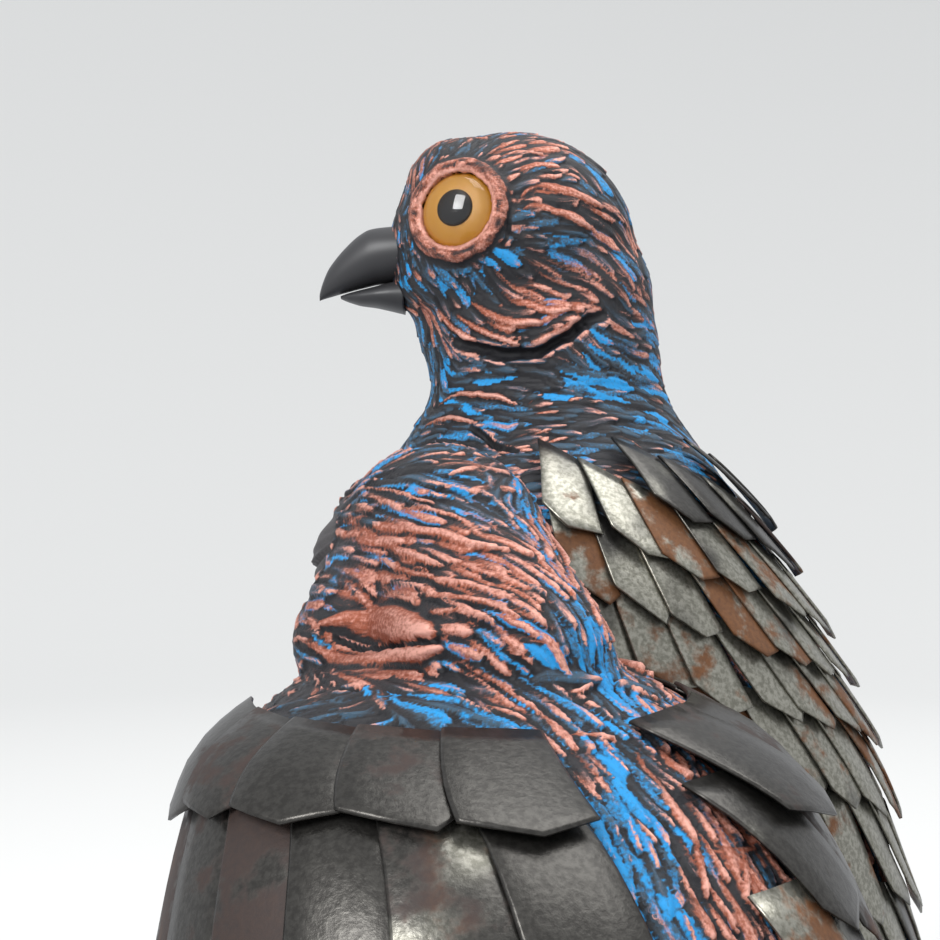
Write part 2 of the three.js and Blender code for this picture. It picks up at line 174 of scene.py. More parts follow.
NESTLING = {
    "name": "nestling_dove",
    "axis": (-30, -20),
    "heading": 31,
    "sections": [
        (147, 33, -9, 12, 9), (142, 33, -3, 13, 7.5), (139, 33, 1, 14.5, 5.5),
        (137.5, 33, 4, 17.5, 4), (136, 33, 8, 21.5, 3), (133, 33, 13.5, 26.5, 2),
        (129, 33, 19.5, 31, 1.5), (124, 33, 26, 33, 1.2), (117, 33, 31.5, 34.5, 0.8),
        (104, 33, 38, 36, 0.4), (88, 32, 43.5, 36.5, 0), (68, 28, 48, 36, 0),
        (48, 20, 50.5, 33, 0), (31, 9, 49, 26.5, 0), (BODY_FOOT, -3, 43, 17, 0),
    ],
    "lumps": [(9.5, -5, 139.5, 14, 13, 10), (28, 4.5, 139.5, 8.5, 8, 7.5)],
    "head": {"centre": (-38, 12.2, 148), "heading": 32, "pitch": -16,
             "size": (17, 14, 16.5), "glass_eyes": False},
    "tail": {"root": (56, 48), "tip": (82, 25), "half_root": 11, "half_tip": 20},
    "wing": {
        "rows": 6, "extra": 0, "top": 133.8, "slant": 0, "front": 64, "drift": 0.3,
        "back": 166, "reach": (15, 21, 25, 29, 33, 37), "pitch": (9.5, 13.5, 15, 17, 19),
        "sweep": (0, 2), "ease": 0, "width": 8.8, "clear": 0.7, "tail_room": 10,
        "right": {"reach": (22, 25, 27, 29, 33, 37), "sweep": (-6, -34), "ease": 0.9},
    },
}

# %% [markdown]
# ## The skin of a bird
# A point on the skin is found from its height and the angle round the bird's axis: 0 is the
# front, 90 the left and 180 the back. Feathers are laid by walking down this skin, as the maker
# lays them over the clay, so their roots and tips follow the body.

# %% Skin functions


def unit(vectors):
    """Vectors scaled to length one."""
    return vectors / np.maximum(np.linalg.norm(vectors, axis=-1, keepdims=True), 1e-9)


def compass(heading):
    """Unit vectors of a heading: forward, and to the bird's left."""
    a = math.radians(heading)
    return np.array([-math.sin(a), math.cos(a), 0.0]), np.array([-math.cos(a), -math.sin(a), 0.0])


def through(sections, column, z):
    """A smooth value of one column of the sections at height z."""
    table = np.array(sections, float)
    heights = table[:, 0]
    values = table[:, column]
    last = len(heights) - 1
    i = np.clip(np.searchsorted(-heights, -z, side="right") - 1, 0, last - 1)
    before = np.maximum(np.arange(last + 1) - 1, 0)
    after = np.minimum(np.arange(last + 1) + 1, last)
    slope = (values[after] - values[before]) / (heights[after] - heights[before])
    h = heights[i + 1] - heights[i]
    t = np.clip((z - heights[i]) / h, 0, 1)
    start = (2 * t**3 - 3 * t**2 + 1) * values[i] + (t**3 - 2 * t**2 + t) * h * slope[i]
    return start + (3 * t**2 - 2 * t**3) * values[i + 1] + (t**3 - t**2) * h * slope[i + 1]


def skin(bird, z, angle):
    """Points on a bird's skin at heights z and angles round its axis, in degrees."""
    z, angle = np.broadcast_arrays(np.asarray(z, float), np.asarray(angle, float))
    forward, left = compass(bird["heading"])
    front, back, side, lean = (through(bird["sections"], k, z) for k in (1, 2, 3, 4))
    a = np.radians(angle)
    ahead = (front - back) / 2 + (front + back) / 2 * np.cos(a)
    aside = side * np.sin(a) - lean
    centre = np.stack([np.full_like(z, bird["axis"][0]), np.full_like(z, bird["axis"][1]), z], -1)
    return centre + ahead[..., None] * forward + aside[..., None] * left


def over(bird, z, angle, height):
    """The same points lifted off the skin along its normal."""
    up = skin(bird, z + 0.5, angle) - skin(bird, z - 0.5, angle)
    around = skin(bird, z, angle + 0.5) - skin(bird, z, angle - 0.5)
    return skin(bird, z, angle) + unit(np.cross(around, up)) * np.asarray(height)[..., None]


def walk(bird, z, angle, distance, sweep):
    """Walks down the skin by a distance, swept towards the back by some degrees."""
    z, angle, distance, sweep = (np.array(v, float) for v in np.broadcast_arrays(
        z, angle, distance, sweep))
    steps = 8
    step = distance / steps
    for _ in range(steps):
        down = np.linalg.norm(skin(bird, z + 0.5, angle) - skin(bird, z - 0.5, angle), axis=-1)
        around = np.linalg.norm(skin(bird, z, angle + 0.5) - skin(bird, z, angle - 0.5), axis=-1)
        z = np.maximum(z - step * np.cos(np.radians(sweep)) / down, BODY_FOOT + 8)
        angle = np.clip(angle + step * np.sin(np.radians(sweep)) / around, -177, 177)
    return z, angle


print("top of the tall dove's back", skin(TALL, 160, 180))

# %% [markdown]
# ## Mesh helpers
# Small functions that turn arrays of millimetres into meshes, and that run one modifier and
# keep its result, so that no modifier is left on a piece.

# %% Mesh helpers


def new_mesh(name, points, faces):
    """A mesh from points in millimetres and faces of one size, given as arrays."""
    mesh = bpy.data.meshes.new(name)
    faces = np.asarray(faces, np.int32)
    corners = faces.shape[1]
    mesh.vertices.add(len(points))
    mesh.vertices.foreach_set("co", (np.asarray(points) * MM).astype(np.float32).ravel())
    mesh.loops.add(faces.size)
    mesh.loops.foreach_set("vertex_index", faces.ravel())
    mesh.polygons.add(len(faces))
    mesh.polygons.foreach_set("loop_start", np.arange(0, faces.size, corners, dtype=np.int32))
    mesh.update(calc_edges=True)
    mesh.validate()
    return mesh


def place(name, mesh):
    """A new object that shows a mesh."""
    piece = bpy.data.objects.new(name, mesh)
    bpy.context.scene.collection.objects.link(piece)
    return piece


def arrays(mesh):
    """A mesh's points in millimetres, their normals, and its faces, which all have four corners."""
    points = np.zeros(len(mesh.vertices) * 3, np.float32)
    mesh.vertices.foreach_get("co", points)
    normals = np.zeros(len(mesh.vertices) * 3, np.float32)
    mesh.vertices.foreach_get("normal", normals)
    corners = np.zeros(len(mesh.loops), np.int32)
    mesh.loops.foreach_get("vertex_index", corners)
    return points.reshape(-1, 3).astype(float) / MM, normals.reshape(-1, 3).astype(float), corners.reshape(-1, 4)


def remeshed(mesh, voxel):
    """The outer skin of overlapping closed forms as one even mesh. voxel is in millimetres."""
    scratch = place("scratch", mesh)
    modifier = scratch.modifiers.new("even", "REMESH")
    modifier.mode = "VOXEL"
    modifier.voxel_size = voxel * MM
    graph = bpy.context.evaluated_depsgraph_get()
    result = bpy.data.meshes.new_from_object(scratch.evaluated_get(graph))
    bpy.data.objects.remove(scratch)
    return result


def relaxed(points, faces, rounds, strength=0.5):
    """Points smoothed towards the mean of their neighbours."""
    a = faces[:, [0, 1, 2, 3]].ravel()
    b = faces[:, [1, 2, 3, 0]].ravel()
    count = np.bincount(a, minlength=len(points)) + np.bincount(b, minlength=len(points))
    count = np.maximum(count, 1)[:, None]
    for _ in range(rounds):
        total = np.stack([
            np.bincount(a, points[b, k], len(points)) + np.bincount(b, points[a, k], len(points))
            for k in range(3)], -1)
        points = points + strength * (total / count - points)
    return points


def carve_colours(mesh, name, values):
    """Stores four numbers per point as a colour attribute that the materials read."""
    attribute = mesh.attributes.new(name, "FLOAT_COLOR", "POINT")
    attribute.data.foreach_set("color", np.asarray(values, np.float32).ravel())


# %% [markdown]
# ## The clay forms
# A sculptor builds the bird from rounds of clay pressed together: the body, the skull, the jaw,
# the cheeks, and a ring of clay round each eye. Here each round is a closed mesh, a voxel
# remesh joins them into one skin, and a few rounds of smoothing press the joints together.

# %% Joining the rounds of clay


def head_frame(head):
    """Matrix from a head's own frame (forward, left, up) to the part's frame, in millimetres."""
    forward, left = compass(head["heading"])
    basis = Matrix((forward, left, (0, 0, 1))).transposed().to_4x4()
    turn = Matrix.Rotation(-math.radians(head["pitch"]), 4, Vector(left))
    return Matrix.Translation(head["centre"]) @ turn @ basis


def eye_aim(side):
    """Where an eye looks, in the head's frame. side is 1 for left and -1 for right."""
    return Vector((0.38, 0.91 * side, 0.14)).normalized()


def eye_seat(head, side):
    """Centre of an eye's flat back in the head's frame."""
    a, b, c = head["size"]
    rest = 1 - 0.45**2 - 0.21**2
    return Vector((0.45 * a, side * b * math.sqrt(rest), 0.21 * c)) - 3.6 * eye_aim(side)


def ball(bm, matrix, centre, radii, detail=4):
    """Adds an ellipsoid round of clay."""
    local = Matrix.Translation(centre) @ Matrix.Diagonal((*radii, 1))
    bmesh.ops.create_icosphere(bm, subdivisions=detail, radius=1, matrix=matrix @ local)


def drawn_out(bm, head, matrix, centre, radii):
    """Adds the clay drawn out of the skull to a lump: the convex skin round both."""
    both = bmesh.new()
    ball(both, head_frame(head), (0, 0, 0), [0.94 * r for r in head["size"]], 3)
    ball(both, matrix, centre, radii, 3)
    hull = bmesh.ops.convex_hull(both, input=both.verts)
    inside = [e for e in hull["geom_interior"] if isinstance(e, bmesh.types.BMVert)]
    bmesh.ops.delete(both, geom=inside, context="VERTS")
    copy = bpy.data.meshes.new("hull")
    both.to_mesh(copy)
    both.free()
    bm.from_mesh(copy)


def ring_of_clay(bm, matrix, seat, aim, radius, tube):
    """Adds a torus of clay round an eye."""
    turn = Vector((0, 0, 1)).rotation_difference(aim).to_matrix().to_4x4()
    place_at = matrix @ Matrix.Translation(seat) @ turn
    rows = []
    around, across = 48, 12
    for i in range(around):
        a = 2 * math.pi * i / around
        out = Vector((math.cos(a), math.sin(a), 0))
        row = []
        for j in range(across):
            b = 2 * math.pi * j / across
            local = out * (radius + tube * math.cos(b)) + Vector((0, 0, tube * math.sin(b)))
            row.append(bm.verts.new(place_at @ local))
        rows.append(row)
    for i in range(around):
        for j in range(across):
            k, m = (i + 1) % around, (j + 1) % across
            bm.faces.new((rows[i][j], rows[k][j], rows[k][m], rows[i][m]))


def tail_point(bird, s, across, height):
    """A point over the tail: s along it, across from -1 to 1, and height above it."""
    forward, left = compass(bird["heading"])
    tail = bird["tail"]
    run = np.array(tail["tip"], float) - np.array(tail["root"], float)
    normal = unit(np.array([-run[1], run[0]]))
    half = tail["half_root"] + (tail["half_tip"] - tail["half_root"]) * s
    back = tail["root"][0] + run[0] * s + normal[0] * height
    z = tail["root"][1] + run[1] * s + normal[1] * height
    base = np.array([*bird["axis"], 0.0])
    return base + np.array([0, 0, z]) - forward * back + left * half * across


def lofted(bm, rings):
    """Adds a closed loft through rings of points, with a fan at each end."""
    rows = [[bm.verts.new(p) for p in ring] for ring in rings]
    ends = [bm.verts.new(np.mean(ring, axis=0)) for ring in (rings[0], rings[-1])]
    n = len(rows[0])
    for j in range(n):
        k = (j + 1) % n
        bm.faces.new((ends[0], rows[0][k], rows[0][j]))
        bm.faces.new((ends[1], rows[-1][j], rows[-1][k]))
        for low, high in zip(rows, rows[1:]):
            bm.faces.new((low[j], low[k], high[k], high[j]))


def clay_forms(bird):
    """All rounds of clay of one bird as overlapping closed meshes, in metres."""
    bm = bmesh.new()
    levels = np.linspace(bird["sections"][0][0], BODY_FOOT, 130)
    angles = -np.arange(96) / 96 * 360
    lofted(bm, [skin(bird, z, angles) for z in levels])
    rump = []
    for s, thick in ((-0.25, 9), (0.62, 3)):
        a = -np.arange(24) / 24 * 2 * math.pi
        rump.append([tail_point(bird, s, 0.86 * math.cos(t), -thick - 0.9 + thick * math.sin(t))
                     for t in a])
    lofted(bm, rump)
    head = bird["head"]
    matrix = head_frame(head)
    a, b, c = head["size"]
    ball(bm, matrix, (0, 0, 0), (a, b, c))
    ball(bm, matrix, (0.42 * a, 0, 0.46 * c), (0.45 * a, 0.78 * b, 0.49 * c))
    ball(bm, matrix, (0.42 * a, 0, -0.3 * c), (0.56 * a, 0.74 * b, 0.42 * c))
    for side in (1, -1):
        ball(bm, matrix, (-0.02 * a, side * 0.36 * b, -0.48 * c), (0.66 * a, 0.55 * b, 0.42 * c))
        seat, aim = eye_seat(head, side), eye_aim(side)
        if not head["glass_eyes"]:
            lid = matrix @ Matrix.Translation(seat + 2.4 * aim)
            turn = Vector((0, 0, 1)).rotation_difference(aim).to_matrix().to_4x4()
            ball(bm, lid @ turn, (0, 0, 0), (5.4, 5.4, 3.6))
    forward, left = compass(bird["heading"])
    turn = Matrix((forward, left, (0, 0, 1))).transposed().to_4x4()
    for ahead, aside, z, *radii in bird["lumps"]:
        centre = Vector((*bird["axis"], z)) + Vector(forward * ahead) + Vector(left * aside)
        drawn_out(bm, head, Matrix.Translation(centre) @ turn, (0, 0, 0), radii)
    bmesh.ops.transform(bm, matrix=Matrix.Scale(MM, 4), verts=bm.verts)
    mesh = bpy.data.meshes.new("forms")
    bm.to_mesh(mesh)
    bm.free()
    return mesh


def smooth_clay(bird):
    """The joined and smoothed clay of one bird, before any carving, as a coarse mesh."""
    coarse = remeshed(clay_forms(bird), 1.1)
    points, _, faces = arrays(coarse)
    points = relaxed(points, faces, 5)
    bm = bmesh.new()
    bm.from_mesh(new_mesh("smooth", points, faces))
    head = bird["head"]
    if head["glass_eyes"]:
        matrix = Matrix.Scale(MM, 4) @ head_frame(head)
        for side in (1, -1):
            rim = eye_seat(head, side) + 2.3 * eye_aim(side)
            ring_of_clay(bm, matrix, rim, eye_aim(side), 7.2, 1.3)
    mesh = bpy.data.meshes.new("joined")
    bm.to_mesh(mesh)
    bm.free()
    return mesh


clay = {bird["name"]: smooth_clay(bird) for bird in (TALL, NESTLING)}
print({name: len(mesh.polygons) for name, mesh in clay.items()})

# %% [markdown]
# ## Where the camera stands
# The camera looks level along +Y from the height of the taller bird's back, with the picture's
# own field of view. The same numbers let the script find the point on the clay that a pixel of
# the photograph shows, so that carved strokes can be put where the sculptor put them.

# %% Camera numbers
CAMERA = np.array([-34.0, -179.0, 161.0])
HALF_VIEW = math.tan(math.radians(18))
HALF_PICTURE = 470


def tree_of(mesh):
    """A search tree over a mesh in millimetres."""
    bm = bmesh.new()
    bm.from_mesh(mesh)
    bmesh.ops.transform(bm, matrix=Matrix.Scale(1 / MM, 4), verts=bm.verts)
    tree = BVHTree.FromBMesh(bm)
    bm.free()
    return tree


def seen_at(tree, x, y):
    """The point of the clay that the photograph shows at a pixel, or None."""
    toward = np.array([(x - HALF_PICTURE) / HALF_PICTURE * HALF_VIEW, 1,
                       (HALF_PICTURE - y) / HALF_PICTURE * HALF_VIEW])
    hit = tree.ray_cast(Vector(CAMERA), Vector(toward).normalized())
    return None if hit[0] is None else np.array(hit[0])


trees = {name: tree_of(mesh) for name, mesh in clay.items()}
print("the tall dove's cheek is at", seen_at(trees["tall_dove"], 470, 300))

# %% [markdown]
# ## How the clay is carved
# Feather strokes follow the lie of the plumage. The lie is set by arrows drawn over the
# photograph (from root to tip of a stroke, in its pixels) and mirrored to the hidden side.
# Each arrow also carries the length, width and height of the strokes about it, and how much
# copper and blue the brush left there. Between the arrows all of these are blended by distance.

# %% Lie of the plumage: x, y, x, y, length, width, height, copper, blue
TALL_LIE = [
    (412, 207, 434, 148, 5, 1.4, 0.35, 0.6, 0.3), (445, 139, 484, 133, 6, 1.6, 0.4, 0.8, 0.2),
    (452, 161, 467, 139, 5, 1.3, 0.4, 0.4, 0.3), (484, 157, 519, 144, 6, 1.6, 0.45, 0.7, 0.2),
    (510, 172, 560, 155, 7, 1.8, 0.5, 0.6, 0.3), (532, 140, 586, 153, 9, 1.5, 0.35, 0.25, 0.4),
    (575, 163, 600, 190, 8, 1.8, 0.4, 0.2, 0.5), (521, 192, 575, 192, 6, 2.0, 0.6, 0.85, 0.2),
    (575, 192, 619, 218, 8, 1.8, 0.5, 0.6, 0.3), (510, 233, 575, 235, 6, 1.5, 0.4, 0.15, 0.5),
    (532, 250, 586, 272, 9, 1.6, 0.45, 0.65, 0.4), (484, 263, 553, 304, 9, 1.8, 0.5, 0.8, 0.4),
    (462, 300, 510, 328, 9, 2.4, 0.7, 0.9, 0.1), (510, 328, 570, 312, 7, 2.2, 0.7, 0.9, 0.1),
    (389, 270, 412, 311, 8, 2.0, 0.6, 0.8, 0.3), (417, 290, 451, 328, 9, 2.2, 0.6, 0.8, 0.3),
    (455, 262, 480, 290, 5, 1.5, 0.4, 0.35, 0.8), (425, 275, 445, 300, 5, 1.5, 0.4, 0.45, 0.7),
    (400, 235, 408, 262, 3.5, 1.1, 0.2, 0.45, 0.5), (586, 250, 629, 293, 9, 1.9, 0.5, 0.55, 0.35),
    (608, 283, 651, 322, 9, 1.9, 0.5, 0.6, 0.35), (632, 228, 648, 276, 8, 1.7, 0.4, 0.45, 0.4),
    (571, 345, 600, 372, 7, 1.6, 0.45, 0.2, 0.75), (425, 330, 432, 369, 5, 1.5, 0.4, 0.1, 0.6),
    (608, 326, 651, 341, 8, 1.7, 0.5, 0.4, 0.6), (470, 358, 530, 366, 9, 1.3, 0.45, 0.05, 0.4),
    (440, 385, 500, 380, 10, 1.5, 0.5, 0.15, 0.5), (560, 378, 620, 380, 9, 1.5, 0.5, 0.2, 0.7),
    (620, 360, 660, 378, 8, 1.6, 0.45, 0.35, 0.55), (439, 410, 514, 415, 11, 1.5, 0.6, 0.3, 0.45),
    (532, 422, 584, 420, 10, 1.6, 0.6, 0.25, 0.4), (600, 410, 660, 420, 10, 1.7, 0.5, 0.3, 0.5),
    (510, 444, 560, 438, 8, 1.7, 0.6, 0.5, 0.25), (640, 430, 690, 450, 9, 1.8, 0.45, 0.3, 0.4),
    (405, 440, 395, 455, 8, 1.8, 0.5, 0.3, 0.3),
]
NESTLING_LIE = [
    (385, 466, 458, 450, 9, 1.2, 0.6, 0.4, 0.4), (437, 457, 486, 455, 9, 1.3, 0.6, 0.5, 0.35),
    (420, 470, 500, 480, 9, 1.5, 0.7, 0.55, 0.5), (380, 492, 427, 504, 9, 1.3, 0.7, 0.5, 0.7),
    (416, 485, 450, 499, 7, 1.3, 0.6, 0.4, 0.9), (321, 548, 330, 500, 8, 1.2, 0.5, 0.35, 0.5),
    (330, 505, 353, 488, 8, 1.3, 0.5, 0.6, 0.4), (355, 518, 437, 535, 10, 1.7, 0.8, 0.85, 0.5),
    (437, 535, 507, 560, 10, 1.8, 0.9, 0.85, 0.5), (361, 550, 416, 569, 9, 1.6, 0.8, 0.85, 0.4),
    (416, 569, 473, 590, 9, 1.6, 0.9, 0.8, 0.4), (469, 598, 522, 615, 9, 1.6, 0.9, 0.75, 0.5),
    (416, 609, 480, 626, 9, 1.6, 0.9, 0.8, 0.4), (480, 626, 530, 655, 9, 1.6, 0.9, 0.75, 0.6),
    (345, 620, 410, 628, 12, 3.0, 0.4, 0.95, 0.1), (340, 660, 400, 650, 11, 3.0, 0.4, 0.95, 0.1),
    (308, 650, 318, 690, 6, 0.9, 0.3, 0.45, 0.1), (437, 661, 500, 700, 10, 1.5, 0.8, 0.65, 0.5),
    (500, 700, 550, 740, 10, 1.5, 0.8, 0.65, 0.6), (380, 690, 470, 715, 9, 1.3, 0.6, 0.15, 0.8),
    (480, 715, 530, 745, 9, 1.4, 0.6, 0.3, 0.9), (550, 600, 580, 650, 8, 1.4, 0.6, 0.15, 0.8),
    (545, 700, 590, 740, 8, 1.4, 0.6, 0.5, 0.6), (540, 760, 575, 820, 9, 1.4, 0.6, 0.3, 0.75),
    (590, 750, 625, 800, 9, 1.6, 0.7, 0.4, 0.9), (641, 755, 690, 790, 9, 1.5, 0.6, 0.8, 0.4),
    (600, 830, 625, 900, 10, 1.6, 0.7, 0.35, 0.8), (680, 810, 715, 870, 9, 1.6, 0.7, 0.75, 0.4),
    (640, 830, 670, 890, 10, 1.6, 0.7, 0.4, 0.8), (700, 880, 740, 935, 9, 1.6, 0.7, 0.75, 0.5),
    (640, 716, 720, 722, 10, 1.3, 0.4, 0.2, 0.4), (310, 715, 250, 730, 8, 1.2, 0.35, 0.12, 0.15),
    (400, 725, 340, 745, 8, 1.2, 0.35, 0.1, 0.2), (440, 735, 470, 750, 8, 1.2, 0.35, 0.12, 0.3),
    (360, 712, 300, 722, 7, 1.2, 0.35, 0.15, 0.15),
]

# %% [markdown]
# ## The strokes that give each bird its face
# The largest strokes of the photograph are traced one by one: the lobes of the cheek, the rolls
# of the neck, the long locks of the nestling bird's head and the blue dabs on its back. Each has
# its width in pixels, its height in millimetres, how much copper and blue it took, and its line.

# %% Traced strokes: width, height, copper, blue, line
TALL_STROKES = [
    (8, 0.5, 0.85, 0.2, (402, 200, 412, 170, 428, 148, 447, 139)),
    (7, 0.4, 0.1, 0.6, (424, 190, 431, 165, 441, 150)),
    (8, 0.5, 0.95, 0.1, (432, 149, 447, 142, 470, 137, 492, 138)),
    (5, 0.5, 0.55, 0.2, (446, 160, 455, 150, 465, 141)),
    (5, 0.5, 0.5, 0.3, (460, 158, 475, 148, 490, 141)),
    (6, 0.5, 0.7, 0.2, (472, 160, 490, 150, 508, 144)),
    (8, 0.6, 0.85, 0.2, (486, 166, 502, 156, 522, 149, 545, 153)),
    (12, 0.7, 0.95, 0.1, (507, 177, 521, 169, 541, 163, 562, 166)),
    (6, 0.3, 0.1, 0.8, (540, 178, 565, 181, 592, 188)),
    (15, 0.35, 0.1, 0.5, (572, 160, 590, 178, 606, 192)),
    (12, 0.35, 0.2, 0.35, (556, 144, 588, 158, 613, 182, 628, 212)),
    (14, 0.9, 0.95, 0.1, (519, 197, 534, 186, 556, 186, 580, 196, 604, 208)),
    (13, 0.9, 0.95, 0.1, (521, 211, 535, 205, 551, 211, 574, 216, 588, 228)),
    (9, 0.6, 0.6, 0.3, (600, 190, 615, 206, 629, 228)),
    (9, 0.6, 0.6, 0.3, (592, 216, 611, 231, 626, 250, 637, 262)),
    (8, 0.4, 0.05, 0.8, (490, 256, 515, 250, 541, 245, 588, 240)),
    (10, 0.4, 0.1, 0.75, (450, 271, 472, 270)),
    (6, 0.4, 0.1, 0.9, (466, 276, 482, 285, 497, 295)),
    (7, 0.4, 0.1, 0.8, (428, 278, 440, 290, 445, 298)),
    (8, 0.6, 0.8, 0.2, (535, 255, 560, 262, 582, 273, 602, 286, 614, 302)),
    (8, 0.6, 0.8, 0.3, (519, 263, 545, 276, 570, 286, 592, 294)),
    (9, 0.6, 0.9, 0.3, (502, 266, 521, 276, 546, 291, 570, 300)),
    (8, 0.6, 0.9, 0.3, (486, 264, 501, 276, 521, 288, 546, 302)),
    (12, 1.0, 1.0, 0.0, (499, 288, 519, 301, 545, 313, 572, 309)),
    (13, 1.1, 1.0, 0.0, (468, 301, 489, 312, 515, 322, 542, 324)),
    (9, 1.1, 1.0, 0.0, (453, 311, 474, 326, 499, 338, 522, 346)),
    (10, 0.9, 0.95, 0.1, (420, 301, 440, 313, 456, 329, 478, 342)),
    (9, 0.8, 0.9, 0.1, (388, 288, 401, 303, 419, 316)),
    (7, 0.8, 0.95, 0.1, (541, 302, 562, 312, 582, 307)),
    (8, 0.6, 0.7, 0.3, (609, 286, 625, 301, 641, 316)),
    (8, 0.6, 0.6, 0.5, (600, 319, 621, 329, 645, 341)),
    (10, 0.5, 0.05, 0.85, (443, 350, 449, 366)),
    (11, 0.4, 0.05, 0.85, (553, 360, 576, 365, 601, 371)),
    (8, 0.5, 0.1, 0.85, (580, 336, 600, 355, 618, 361)),
    (8, 0.5, 0.1, 0.85, (612, 370, 634, 374, 652, 380)),
    (8, 0.5, 0.05, 0.95, (549, 386, 575, 385, 603, 381)),
    (8, 1.3, 1.0, 0.0, (438, 404, 460, 395, 480, 392, 500, 397, 517, 407)),
    (4, 0.9, 0.9, 0.1, (524, 408, 534, 401, 543, 394)),
    (5, 0.9, 0.9, 0.1, (526, 416, 545, 413, 563, 411)),
    (5, 0.9, 1.0, 0.0, (560, 406, 572, 400, 584, 396)),
    (8, 1.3, 0.95, 0.0, (416, 433, 434, 422, 455, 418, 479, 422)),
    (5, 0.8, 0.9, 0.1, (479, 431, 496, 441)),
    (6, 0.9, 0.85, 0.1, (519, 441, 535, 435, 552, 429)),
    (6, 0.9, 0.85, 0.1, (535, 451, 551, 441, 572, 436)),
    (6, 0.7, 0.65, 0.2, (588, 438, 610, 435, 630, 440, 652, 455)),
    (6, 0.5, 0.05, 0.95, (628, 433, 651, 428)), (6, 0.5, 0.05, 0.95, (588, 426, 601, 420)),
]
